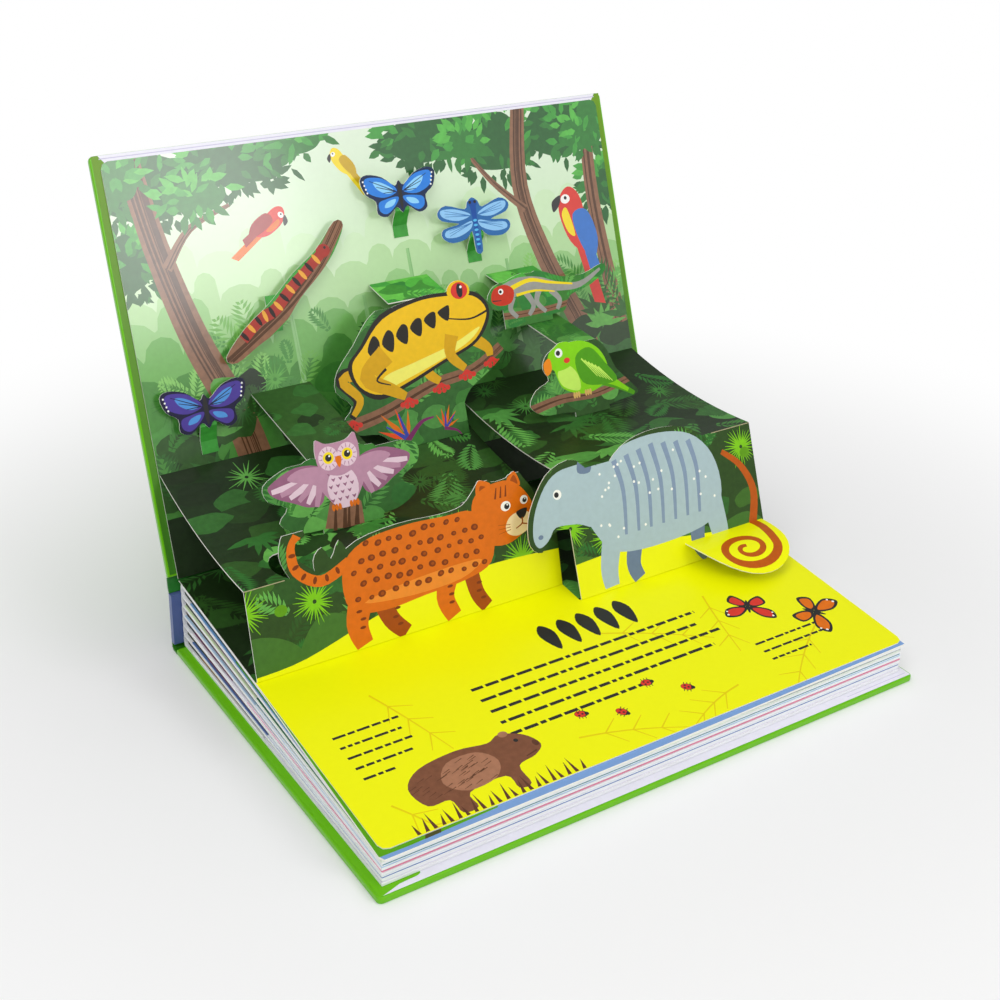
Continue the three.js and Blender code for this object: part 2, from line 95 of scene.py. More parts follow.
# Print: half width with its bleed, share of a palm leaf's length in a leaflet, width of a far tree
BLEED = 118
LEAFLET_SHARE = 0.42
CROWN_PITCH = 15


# Camera and lamps

PHOTO_WIDTH = 1000
PHOTO_FOCUS = 1530.3
SENSOR = 36
camera_data = bpy.data.cameras.new("camera")
camera_data.sensor_width = SENSOR
camera_data.lens = PHOTO_FOCUS * SENSOR / PHOTO_WIDTH
camera_data.shift_y = -0.1214
camera = bpy.data.objects.new("camera", camera_data)
bpy.context.scene.collection.objects.link(camera)
camera.location = (-0.30106, -0.41756, 0.3433)
camera_right = Vector((0.8375, -0.5458, 0.0242)).normalized()
camera_back = -Vector((0.5099, 0.7649, -0.3936)).normalized()
camera_up = camera_back.cross(camera_right).normalized()
camera_right = camera_up.cross(camera_back)
turn = [list(row) for row in zip(camera_right, camera_up, camera_back)]
camera.rotation_euler = Matrix(turn).to_euler()
bpy.context.scene.camera = camera
bpy.context.scene.view_settings.view_transform = "Standard"


def lamp(name, place, target, size, power):
    data = bpy.data.lights.new(name, "AREA")
    data.size = size
    data.energy = power
    piece = bpy.data.objects.new(name, data)
    piece.location = place
    piece.rotation_euler = (Vector(target) - Vector(place)).to_track_quat("-Z", "Y").to_euler()
    bpy.context.scene.collection.objects.link(piece)
    return piece


CENTRE = (0, 0, 0.06)
lamp("key_softbox", (-0.75, -0.55, 1.15), CENTRE, 0.9, 8.1)
lamp("fill_softbox", (0.9, -0.9, 0.7), CENTRE, 1.0, 2.5)
lamp("top_softbox", (0.05, 0.1, 1.5), CENTRE, 1.2, 4.5)
lamp("glare_softbox", (0.33, -0.97, 0.6), (-0.1, 0.12, 0.17), 0.3, 2.4)
world = bpy.data.worlds.new("studio")
bpy.context.scene.world = world
world.use_nodes = True
world_nodes = world.node_tree.nodes
world_links = world.node_tree.links
studio_air = world_nodes["Background"]
studio_air.inputs["Color"].default_value = (1, 1, 1, 1)
studio_air.inputs["Strength"].default_value = 0.38
seen_air = world_nodes.new("ShaderNodeBackground")
seen_air.inputs["Color"].default_value = (1, 1, 1, 1)
seen_air.inputs["Strength"].default_value = 1
light_path = world_nodes.new("ShaderNodeLightPath")
air_mix = world_nodes.new("ShaderNodeMixShader")
world_links.new(light_path.outputs["Is Camera Ray"], air_mix.inputs["Fac"])
world_links.new(studio_air.outputs["Background"], air_mix.inputs[1])
world_links.new(seen_air.outputs["Background"], air_mix.inputs[2])
world_links.new(air_mix.outputs["Shader"], world_nodes["World Output"].inputs["Surface"])


# Inks and materials

def ink(code, mottle=0.06):
    """Linear colour of a printed ink, with the strength of its mottling as alpha."""
    parts = [int(code[i:i + 2], 16) / 255 for i in (1, 3, 5)]
    linear = [c / 12.92 if c <= 0.04045 else ((c + 0.055) / 1.055) ** 2.4 for c in parts]
    return (*linear, mottle)


def new_material(name, roughness, color=None):
    material = bpy.data.materials.new(name)
    material.use_nodes = True
    shader = material.node_tree.nodes["Principled BSDF"]
    shader.inputs["Roughness"].default_value = roughness
    if color:
        shader.inputs["Base Color"].default_value = (*color[:3], 1)
    return material, material.node_tree.nodes, material.node_tree.links, shader


def noise(nodes, links, scale, detail, stretch=(1, 1, 1)):
    place = nodes.new("ShaderNodeTexCoord")
    shape = nodes.new("ShaderNodeMapping")
    shape.inputs["Scale"].default_value = stretch
    texture = nodes.new("ShaderNodeTexNoise")
    texture.inputs["Scale"].default_value = scale
    texture.inputs["Detail"].default_value = detail
    links.new(place.outputs["Object"], shape.inputs["Vector"])
    links.new(shape.outputs["Vector"], texture.inputs["Vector"])
    return texture


def add_bump(nodes, links, shader, texture, strength, distance):
    bump = nodes.new("ShaderNodeBump")
    bump.inputs["Strength"].default_value = strength
    bump.inputs["Distance"].default_value = distance
    links.new(texture.outputs[0], bump.inputs["Height"])
    links.new(bump.outputs["Normal"], shader.inputs["Normal"])


def shade(nodes, links, texture, color_output, amount_output, amount=0.1):
    """Multiply a colour by 1 + amount * (texture - 0.5) * 2."""
    centred = nodes.new("ShaderNodeMath")
    centred.operation = "MULTIPLY_ADD"
    centred.inputs[1].default_value = 2
    centred.inputs[2].default_value = -1
    links.new(texture.outputs[0], centred.inputs[0])
    scaled = nodes.new("ShaderNodeMath")
    scaled.operation = "MULTIPLY"
    links.new(centred.outputs[0], scaled.inputs[0])
    if amount_output:
        links.new(amount_output, scaled.inputs[1])
    else:
        scaled.inputs[1].default_value = amount
    factor = nodes.new("ShaderNodeMath")
    factor.operation = "ADD"
    factor.inputs[1].default_value = 1
    links.new(scaled.outputs[0], factor.inputs[0])
    product = nodes.new("ShaderNodeVectorMath")
    product.operation = "SCALE"
    links.new(color_output, product.inputs[0])
    links.new(factor.outputs[0], product.inputs["Scale"])
    return product.outputs["Vector"]


def own_ink(nodes):
    """The ink that a sheet carries at each of its corners."""
    attribute = nodes.new("ShaderNodeAttribute")
    attribute.attribute_name = "ink"
    return attribute


def printed_card(name, coat):
    """Coated card: the ink comes from the sheet's own attribute."""
    material, nodes, links, shader = new_material(name, 0.34)
    attribute = own_ink(nodes)
    texture = noise(nodes, links, 420, 6)
    color = shade(nodes, links, texture, attribute.outputs["Color"], attribute.outputs["Alpha"])
    links.new(color, shader.inputs["Base Color"])
    shader.inputs["Specular IOR Level"].default_value = 0.16
    shader.inputs["Coat Weight"].default_value = coat
    shader.inputs["Coat Roughness"].default_value = 0.16
    add_bump(nodes, links, shader, noise(nodes, links, 900, 2), 0.05, 0.0002)
    return material


def plain_card(name, code, roughness, mottle, scale=700, bump=0.1):
    material, nodes, links, shader = new_material(name, roughness)
    base = nodes.new("ShaderNodeRGB")
    base.outputs[0].default_value = (*ink(code)[:3], 1)
    texture = noise(nodes, links, scale, 4)
    links.new(shade(nodes, links, texture, base.outputs[0], None, mottle), shader.inputs["Base Color"])
    add_bump(nodes, links, shader, texture, bump, 0.0002)
    return material


def laminated(name, code):
    """Gloss film over printed paper."""
    material = plain_card(name, code, 0.28, 0.05, 260, 0.04)
    shader = material.node_tree.nodes["Principled BSDF"]
    shader.inputs["Specular IOR Level"].default_value = 0.2
    shader.inputs["Coat Weight"].default_value = 0.3
    shader.inputs["Coat Roughness"].default_value = 0.12
    return material


PRINT = printed_card("printed_card", 0.1)
GLOSS_PRINT = printed_card("gloss_printed_card", 0.9)
CUT_EDGE = plain_card("cut_card_edge", "#f4f3ea", 0.7, 0.05, 1500, 0.2)
CARD_BACK = plain_card("card_back", "#e9ebe6", 0.55, 0.04)
WRAP_GREEN = laminated("green_wrap", "#6abd02")
WRAP_JOINT = laminated("joint_wrap", "#2c7a2e")


# Printed sheets: flat artwork in millimetres, folded into place

def spline_point(a, b, c, d, t):
    """A point between b and c on a smooth line through all four."""
    return 0.5 * (2 * b + (c - a) * t + (2 * a - 5 * b + 4 * c - d) * t * t
                  + (3 * b - a - 3 * c + d) * t ** 3)


def smooth(points, per=4):
    """A closed round outline through a few points."""
    count = len(points)
    out = []
    for i in range(count):
        a, b, c, d = (Vector(points[(i + k) % count]) for k in (-1, 0, 1, 2))
        out.extend(tuple(spline_point(a, b, c, d, s / per)) for s in range(per))
    return out


def moved(points, x, y, grow=1.0, flip=1, spin=0.0):
    """Points sized, mirrored, turned and moved."""
    c, s = math.cos(spin), math.sin(spin)
    return [(x + grow * (flip * px * c - py * s), y + grow * (flip * px * s + py * c)) for px, py in points]


def mirrored(points, side):
    return [(side * x, y) for x, y in points]


def placed(art, x, y, grow=1.0, flip=1, spin=0.0):
    """Artwork sized, mirrored, turned and moved into its place."""
    return [(color, moved(points, x, y, grow, flip, spin)) for color, points in art]


def box_outline(low_x, low_v, high_x, high_v):
    return [(low_x, low_v), (high_x, low_v), (high_x, high_v), (low_x, high_v)]


def oval(x, y, rx, ry=None, spin=0.0, count=18):
    ry = ry or rx
    ring = [(rx * math.cos(2 * math.pi * i / count), ry * math.sin(2 * math.pi * i / count))
            for i in range(count)]
    return moved(ring, x, y, spin=spin)


def stroke(path, width, end_width=None, per=5):
    """A tapered band along an open path."""
    end_width = width if end_width is None else end_width
    points = [Vector(p) for p in path]
    fine = []
    for i in range(len(points) - 1):
        a = points[max(i - 1, 0)]
        b, c = points[i], points[i + 1]
        d = points[min(i + 2, len(points) - 1)]
        fine.extend(spline_point(a, b, c, d, s / per) for s in range(per))
    fine.append(points[-1])
    left, right = [], []
    for i, p in enumerate(fine):
        along = (fine[min(i + 1, len(fine) - 1)] - fine[max(i - 1, 0)]).normalized()
        side = Vector((-along.y, along.x)) * (width + (end_width - width) * i / (len(fine) - 1)) / 2
        left.append(tuple(p + side))
        right.append(tuple(p - side))
    return left + right[::-1]


def frond(x, y, length, angle, bend, color, leaflets, width):
    """A palm leaf: pointed leaflets on both sides of a bent rib."""
    out = []
    px, py, heading = x, y, angle
    step = length / leaflets
    for i in range(leaflets):
        px += step * math.cos(heading)
        py += step * math.sin(heading)
        heading += bend / leaflets
        reach = length * LEAFLET_SHARE * math.sin(math.pi * (i + 1.2) / (leaflets + 1.2))
        for side in (-1, 1):
            a = heading + side * 0.85
            tip = (px + reach * math.cos(a), py + reach * math.sin(a))
            mid = (px + reach * 0.45 * math.cos(a), py + reach * 0.45 * math.sin(a))
            nx, ny = -math.sin(a) * width, math.cos(a) * width
            out.append((color, [(px, py), (mid[0] + nx, mid[1] + ny), tip, (mid[0] - nx, mid[1] - ny)]))
    return out


def leaf_shape(x, y, length, width, angle):
    """A pointed oval leaf from its stalk end."""
    side = [(0, 0), (length * 0.3, width * 0.5), (length * 0.65, width * 0.42), (length, 0),
            (length * 0.65, -width * 0.42), (length * 0.3, -width * 0.5)]
    return moved(side, x, y, spin=angle)


def canopy(x, y, rx, ry, palette, rng, leaves=70):
    """A crown of leaves: a dark uneven mass with single leaves over it, lighter towards the top."""
    ring = []
    for k in range(14):
        a = 2 * math.pi * k / 14
        grow = rng.uniform(0.78, 1.0)
        ring.append((x + rx * grow * math.cos(a), y + ry * grow * math.sin(a)))
    art = [(palette[0], smooth(ring, 3))]
    spots = sorted((rng.uniform(-1, 1) for _ in range(leaves)), reverse=True)
    for drop in spots:
        reach = math.sqrt(max(0, 1.1 - drop * drop))
        px, py = x + rx * reach * rng.uniform(-1, 1), y - ry * drop
        tone = min(len(palette) - 1, max(0, int((py - y) / ry * 1.6 + 1.6 + rng.uniform(-1, 1))))
        angle = math.atan2(py - y, px - x) + rng.uniform(-0.9, 0.9)
        art.append((palette[tone], leaf_shape(px, py, rng.uniform(5, 9), rng.uniform(2.2, 3.6), angle)))
    return art


def burst(x, y, r, color, rng, rays):
    """A round tuft of thin blades around one point."""
    art = []
    for k in range(rays):
        a = 2 * math.pi * (k + rng.uniform(-0.3, 0.3)) / rays
        reach = r * rng.uniform(0.75, 1.1)
        art.append((color, stroke([(x + 0.8 * math.cos(a), y + 0.8 * math.sin(a)),
                                   (x + reach * math.cos(a), y + reach * math.sin(a))], 0.9, 0.15, 1)))
    return art


def trunk(path, width, end_width, color, dark, rng, streaks):
    """A stem or branch with dark streaks along it."""
    out = [(color, stroke(path, width, end_width))]
    for _ in range(streaks):
        shift = rng.uniform(-0.36, 0.36)
        line = [(x + shift * width, y) for x, y in path]
        out.append((dark, stroke(line, width * rng.uniform(0.06, 0.16), width * 0.03)))
    return out


def on_back_leaf(offset):
    """Places (x, height) on a plane parallel to the back leaf."""
    def place(x, v):
        return Vector((x, GUTTER[0] + v * math.cos(COVER_TILT) - offset * math.sin(COVER_TILT),
                       GUTTER[1] + v * math.sin(COVER_TILT) + offset * math.cos(COVER_TILT)))
    return place


def on_page(lift):
    """Places (x, reach from the gutter) on the sloping page."""
    def place(x, v):
        return Vector((x, GUTTER[0] - v * math.cos(PAGE_TILT) - lift * math.sin(PAGE_TILT),
                       GUTTER[1] - v * math.sin(PAGE_TILT) + lift * math.cos(PAGE_TILT)))
    return place


def along_line(points):
    """Places (x, v) on a bent sheet whose section is a line of points in Y and Z."""
    lengths = [0.0]
    for a, b in zip(points, points[1:]):
        lengths.append(lengths[-1] + (b - a).length)

    def place(x, v):
        for i in range(1, len(points)):
            if v <= lengths[i] or i == len(points) - 1:
                t = (v - lengths[i - 1]) / (lengths[i] - lengths[i - 1])
                p = points[i - 1] + (points[i] - points[i - 1]) * t
                return Vector((x, p.x, p.y))
    place.lengths = lengths
    return place


def shaded_ink(color, v):
    """An ink may be one colour or a blend (low colour, high colour, low v, high v)."""
    if isinstance(color[0], (tuple, list)):
        low, high, from_v, to_v = color
        t = min(max((v - from_v) / (to_v - from_v), 0), 1)
        return tuple(a + (b - a) * t for a, b in zip(low, high))
    return color


def inside(ring, centres):
    """Which of the points lie within a closed outline."""
    outline = np.array(ring, dtype=float)
    near = np.all((centres > outline.min(axis=0)) & (centres < outline.max(axis=0)), axis=1)
    x, y = centres[near, 0], centres[near, 1]
    hit = np.zeros(len(x), dtype=bool)
    for (ax, ay), (bx, by) in zip(outline, np.roll(outline, -1, axis=0)):
        if ay != by:
            hit ^= ((ay > y) != (by > y)) & (x < ax + (bx - ax) * (y - ay) / (by - ay))
    near[near] = hit
    return near


def printed_part(keep, art, place, cut=(), lines=(), face_down=False):
    """Vertices, faces and inks of one flat part, cut to shape and laid in place."""
    flat, edges = [], []
    for ring in [*keep, *cut, *[points for _, points in art]]:
        first = len(flat)
        flat.extend(Vector(p) for p in ring)
        edges.extend((first + i, first + (i + 1) % len(ring)) for i in range(len(ring)))
    corners = np.array([p for ring in keep for p in ring])
    low_x = corners[:, 0].min() - 1
    high_x = corners[:, 0].max() + 1
    for v in lines:
        edges.append((len(flat), len(flat) + 1))
        flat.extend([Vector((low_x, v)), Vector((high_x, v))])
    verts, _, faces, *_ = delaunay_2d_cdt(flat, edges, [], 0, 1e-4)
    corners = np.array([tuple(v) for v in verts])
    centres = np.array([corners[list(face)].mean(axis=0) for face in faces])
    wanted = np.zeros(len(faces), dtype=bool)
    for ring in keep:
        wanted |= inside(ring, centres)
    for ring in cut:
        wanted &= ~inside(ring, centres)
    top = np.full(len(faces), -1)
    for number, (_, ring) in enumerate(art):
        top[inside(ring, centres)] = number
    kept, inks = [], []
    for number in np.nonzero(wanted & (top >= 0))[0]:
        face = faces[number][::-1] if face_down else faces[number]
        kept.append(face)
        inks.append([shaded_ink(art[top[number]][0], verts[i].y) for i in face])
    return [place(*v) * MM for v in verts], kept, inks


def printed_sheet(name, parts, thickness=CARD, face=PRINT, rim=CUT_EDGE):
    """One piece of card from its printed parts; Solidify gives it its thickness and cut edges."""
    verts, faces, inks = [], [], []
    for part_verts, part_faces, part_inks in parts:
        faces.extend([tuple(i + len(verts) for i in face) for face in part_faces])
        verts.extend(part_verts)
        inks.extend(part_inks)
    used = sorted({i for face in faces for i in face})
    renumber = {old: new for new, old in enumerate(used)}
    mesh = bpy.data.meshes.new(name)
    mesh.from_pydata([verts[i] for i in used], [], [tuple(renumber[i] for i in face) for face in faces])
    layer = mesh.color_attributes.new("ink", "FLOAT_COLOR", "CORNER")
    corner = 0
    for colors in inks:
        for color in colors:
            layer.data[corner].color = color
            corner += 1
    for material in (face, CARD_BACK, rim):
        mesh.materials.append(material)
    piece = bpy.data.objects.new(name, mesh)
    bpy.context.scene.collection.objects.link(piece)
    bpy.ops.object.select_all(action="DESELECT")
    piece.select_set(True)
    bpy.context.view_layer.objects.active = piece
    bpy.ops.object.mode_set(mode="EDIT")
    bpy.ops.mesh.select_all(action="SELECT")
    bpy.ops.mesh.remove_doubles(threshold=0.00002)
    bpy.ops.object.mode_set(mode="OBJECT")
    solid = piece.modifiers.new("thickness", "SOLIDIFY")
    solid.thickness = thickness * MM
    solid.offset = -1
    solid.material_offset = 1
    solid.material_offset_rim = 2
    bpy.ops.object.modifier_apply(modifier=solid.name)
    return piece


# Back leaf: sky, hills, trees and undergrowth

SKY = (ink("#bfe3ac", 0.03), ink("#dcebd5", 0.03), 70, 164)
GREENS = [ink(c, 0.3) for c in ("#3f9a3a", "#4fae3c", "#2f7d33", "#64bd48", "#3c8a2f")]
DARKS = [ink(c, 0.35) for c in ("#24401a", "#1c3014", "#2e5420", "#33662a", "#1a2a12")]
# Pale ink along the stage folds: a white crack in the crease and a painted highlight on the fold
FOLD_CRACK_AND_HIGHLIGHT = ink("#a8a07e", 0.3)
MIDS = [ink(c, 0.3) for c in ("#4f9040", "#3d7d30", "#62a84a", "#2f6b2a")]
BARK = ink("#8a6248", 0.35)
BARK_DARK = ink("#553722", 0.35)
INK_BLACK = ink("#2a2a2a", 0.05)
WHITE = ink("#f4f4ee", 0.03)
RED = ink("#d8372c", 0.12)
BLUE = ink("#3573c4", 0.12)
YELLOW = ink("#f3d81c", 0.08)
ORANGE = ink("#e0700c", 0.2)
FROND_ORANGE = ink("#b8560c", 0.2)
PAGE_YELLOW = ink("#f0f200", 0.02)


def clump(rng, x, v, wide, high, count):
    """An uneven round mass of growth."""
    ring = [(x + rng.uniform(*wide) * math.cos(a), v + rng.uniform(*high) * math.sin(a))
            for a in (2 * math.pi * k / count for k in range(count))]
    return smooth(ring, 2)


def jungle(rng, low_x, high_x, low_v, high_v, clumps, fronds, light=0.4):
    """Dense growth: dark masses first, then fans of leaves that get lighter towards the top."""
    art = []
    for _ in range(clumps):
        x, v = rng.uniform(low_x, high_x), rng.uniform(low_v, high_v)
        rise = (v - low_v) / (high_v - low_v)
        palette = MIDS if rise > 0.7 and rng.random() < light else DARKS
        mass = clump(rng, x, v, (7, 13), (4, 8), 9)
        art.append((rng.choice(palette), mass))
    for _ in range(fronds):
        x, v = rng.uniform(low_x, high_x), rng.uniform(low_v, high_v)
        kind = rng.random()
        tone = rng.choice(MIDS if rng.random() < light + 0.15 else DARKS[2:4])
        if kind < 0.55:
            art += frond(x, v, rng.uniform(12, 26), rng.uniform(0.3, 2.8), rng.uniform(-0.9, 0.9), tone, 10,
                         0.8)
        elif kind < 0.8:
            for k in range(7):
                art.append((tone, leaf_shape(x, v, rng.uniform(8, 15), rng.uniform(2, 3.4), 0.1 + k * 0.47)))
        else:
            art += burst(x, v, rng.uniform(6, 10), tone, rng, 18)
    return art


def undergrowth(rng, low_x, high_x, low_v, high_v, clumps, fronds, palette, base):
    """Growth on a small piece of card, over one base colour."""
    art = [(base, box_outline(low_x - 2, low_v - 2, high_x + 2, high_v + 2))]
    for _ in range(clumps):
        x, v = rng.uniform(low_x, high_x), rng.uniform(low_v, high_v)
        mass = clump(rng, x, v, (4, 8), (3, 6), 8)
        art.append((rng.choice(palette), mass))
    for _ in range(fronds):
        art += frond(rng.uniform(low_x, high_x), rng.uniform(low_v, high_v), rng.uniform(9, 18),
                     rng.uniform(0.2, 2.9), rng.uniform(-1, 1), rng.choice(palette + MIDS), 8, 0.7)
    return art


def treeline(base, rise, color, rng):
    """A far wall of trees with round tops."""
    tops = []
    x = -126
    while x < 124:
        wide = CROWN_PITCH * rng.uniform(0.6, 1.4)
        high = rise * rng.uniform(0.6, 1.3)
        foot = base + rng.uniform(-1, 1) * rise * 0.5
        for k in range(6):
            a = math.pi * k / 6
            tops.append((x + wide / 2 * (1 - math.cos(a)), foot + high * math.sin(a)))
        x += wide
    return [(color, [(-127, 0), (x, 0), *sorted(tops, reverse=True)])]


def bird(x, y, grow, body, wing, tail, belly, flip, spin):
    """A perched long-tailed bird."""
    shapes = [
        (tail, [(-2, -6), (3, -8), (1, -34), (-4, -36)]),
        (wing, [(-4, -4), (0, -8), (-1, -24), (-6, -22)]),
        (body, smooth([(-5, 0), (-6, -9), (-1, -14), (5, -8), (7, 3), (5, 10), (0, 13), (-4, 9)])),
        (wing, smooth([(-6, 2), (-8, -10), (-3, -18), (1, -8), (1, 2)])),
        (belly, smooth([(2, -6), (5, -4), (6, 3), (3, 5)])),
        (WHITE, oval(2.6, 8.6, 2.2, 1.8)),
        (INK_BLACK, oval(2.4, 9, 0.7)),
        (INK_BLACK, smooth([(4.6, 10.6), (9, 9), (9.4, 5), (6, 7)])),
    ]
    return placed(shapes, x, y, grow, flip, spin)


def back_leaf_art():
    rng = random.Random(11)
    crown = [ink(c, 0.25) for c in ("#24602a", "#2f7a30", "#3f9a3a", "#55b244")]
    art = [(SKY, box_outline(-BLEED, -2, BLEED, 166))]
    for base, rise, code, mottle in ((120, 8, "#cbe6bb", 0.03), (106, 8, "#b2d79c", 0.04),
                                     (94, 8, "#94c67d", 0.06), (84, 7, "#6fae56", 0.12),
                                     (72, 7, "#4a8a38", 0.2)):
        art += treeline(base, rise, ink(code, mottle), rng)
    for x, v in ((-50, 104), (8, 112), (56, 100), (-16, 96)):
        art += trunk([(x, v), (x + 1, 60)], 1.6, 2.4, ink("#8dc07a", 0.1), ink("#6ba55c", 0.1), rng, 1)
    for _ in range(40):
        x, v = rng.uniform(-BLEED, BLEED), rng.uniform(60, 88)
        art += frond(x, v, rng.uniform(9, 18), rng.uniform(0.3, 2.8), rng.uniform(-0.9, 0.9),
                     ink(rng.choice(("#6fb04e", "#4a8f3c", "#88c664")), 0.15), 8, 0.7)
    for x, y, rx, ry in ((-100, 152, 28, 15), (-62, 158, 26, 12), (-112, 124, 12, 12), (28, 158, 26, 12),
                         (60, 150, 24, 14), (98, 154, 26, 14), (112, 126, 9, 12)):
        art += canopy(x, y, rx, ry, crown, rng)
    streak = ink("#553722", 0.3)
    art += trunk([(-106, 166), (-101, 130), (-92, 92), (-79, 56), (-72, 20)], 9, 15, BARK, streak, rng, 9)
    art += trunk([(-98, 120), (-86, 134), (-68, 141)], 4.4, 1.5, BARK, streak, rng, 3)
    art += trunk([(74, 166), (69, 130), (77, 96), (91, 62), (96, 30)], 7, 12, BARK, streak, rng, 8)
    art += trunk([(70, 120), (55, 134), (43, 150)], 3.8, 1.4, BARK, streak, rng, 3)
    art += trunk([(109, 160), (107, 120), (111, 70), (116, 30)], 6, 9, BARK, streak, rng, 6)
    for x, y, rx, ry in ((-82, 146, 14, 7), (44, 152, 13, 7), (106, 150, 14, 8), (-112, 158, 10, 12),
                         (113, 160, 8, 10), (-36, 163, 16, 6)):
        art += canopy(x, y, rx, ry, crown[1:], rng, 34)
    art += jungle(rng, -BLEED, BLEED, 16, 70, 60, 58)
    art.append((DARKS[1], [(-BLEED, -2), (BLEED, -2), (BLEED, 22), (-BLEED, 24)]))
    art += bird(96, 112, 1.15, RED, BLUE, RED, YELLOW, -1, 0.12)
    art += bird(-52, 132, 0.62, RED, ink("#a02a2a", 0.1), ORANGE, ORANGE, 1, -0.9)
    art += bird(-16, 152, 0.5, YELLOW, ink("#c9a400", 0.1), YELLOW, YELLOW, -1, 0.5)
    return art


LEAF_OUTLINE = [(-PAGE_HALF, SEAT), (PAGE_HALF, SEAT), (PAGE_HALF, PAGE_DEPTH - 3),
                (PAGE_HALF - 0.9, PAGE_DEPTH - 0.9), (PAGE_HALF - 3, PAGE_DEPTH),
                (-PAGE_HALF + 3, PAGE_DEPTH), (-PAGE_HALF + 0.9, PAGE_DEPTH - 0.9),
                (-PAGE_HALF, PAGE_DEPTH - 3)]
back_leaf = printed_sheet("back_leaf_print",
                          [printed_part([LEAF_OUTLINE], back_leaf_art(), on_back_leaf(0))], LEAF,
                          GLOSS_PRINT)
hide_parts("back_leaf")
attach(back_leaf, "upper_cover")


# Front leaf: yellow page with plain bars for text and small printed creatures

def text_bars(x, y, widths, pitch, height, rng):
    """Lines of type as rows of short plain bars."""
    out = []
    for row, width in enumerate(widths):
        at = x
        while at < x + width:
            word = min(rng.uniform(3, 11) * height / 2.4, x + width - at)
            low = y + row * pitch
            out.append((INK_BLACK, box_outline(at, low, at + word, low + height)))
            at += word + height * 0.75
    return out


def ladybird(x, y, grow, spin):
    parts = [(INK_BLACK, oval(0, 0, 3.4, 2.4)), (RED, oval(-0.4, 0, 2.8, 2.2)),
             (INK_BLACK, oval(2.9, 0, 1.1, 1.2)), (INK_BLACK, oval(-1.2, 1, 0.6)),
             (INK_BLACK, oval(-1.2, -1, 0.6)), (INK_BLACK, oval(0.7, 0, 0.6))]
    legs = [(INK_BLACK, stroke([(k, -3.4), (k, 3.4)], 0.4)) for k in (-1.6, 0, 1.6)]
    return placed(legs + parts, x, y, grow, 1, spin)


def butterfly(x, y, grow, spin, light, dark):
    out = []
    for side in (-1, 1):
        for color, shrink in ((dark, 1.0), (light, 0.72)):
            upper = mirrored([(0, 1), (6, 9), (14, 10), (13, 3), (5, 0)], side)
            lower = mirrored([(0, -1), (5, 0), (11, -4), (8, -10), (2, -6)], side)
            for wing, cx, cy in ((upper, side * 8, 5), (lower, side * 6, -4)):
                shape = [(cx + (px - cx) * shrink, cy + (py - cy) * shrink) for px, py in smooth(wing)]
                out.append((color, shape))
        out.append((WHITE, oval(side * 12.6, 8, 0.7)))
        out.append((WHITE, oval(side * 12.8, 5, 0.6)))
    out.append((INK_BLACK, oval(0, 0, 1, 6)))
    return placed(out, x, y, grow, 1, spin)


CAPYBARA = smooth([(-24, -4), (-26, 6), (-18, 13), (-2, 15), (10, 13), (16, 15), (24, 11), (27, 4), (22, 0),
                   (14, -2), (13, -11), (8, -11), (7, -4), (-8, -5), (-9, -12), (-15, -12), (-16, -5)])


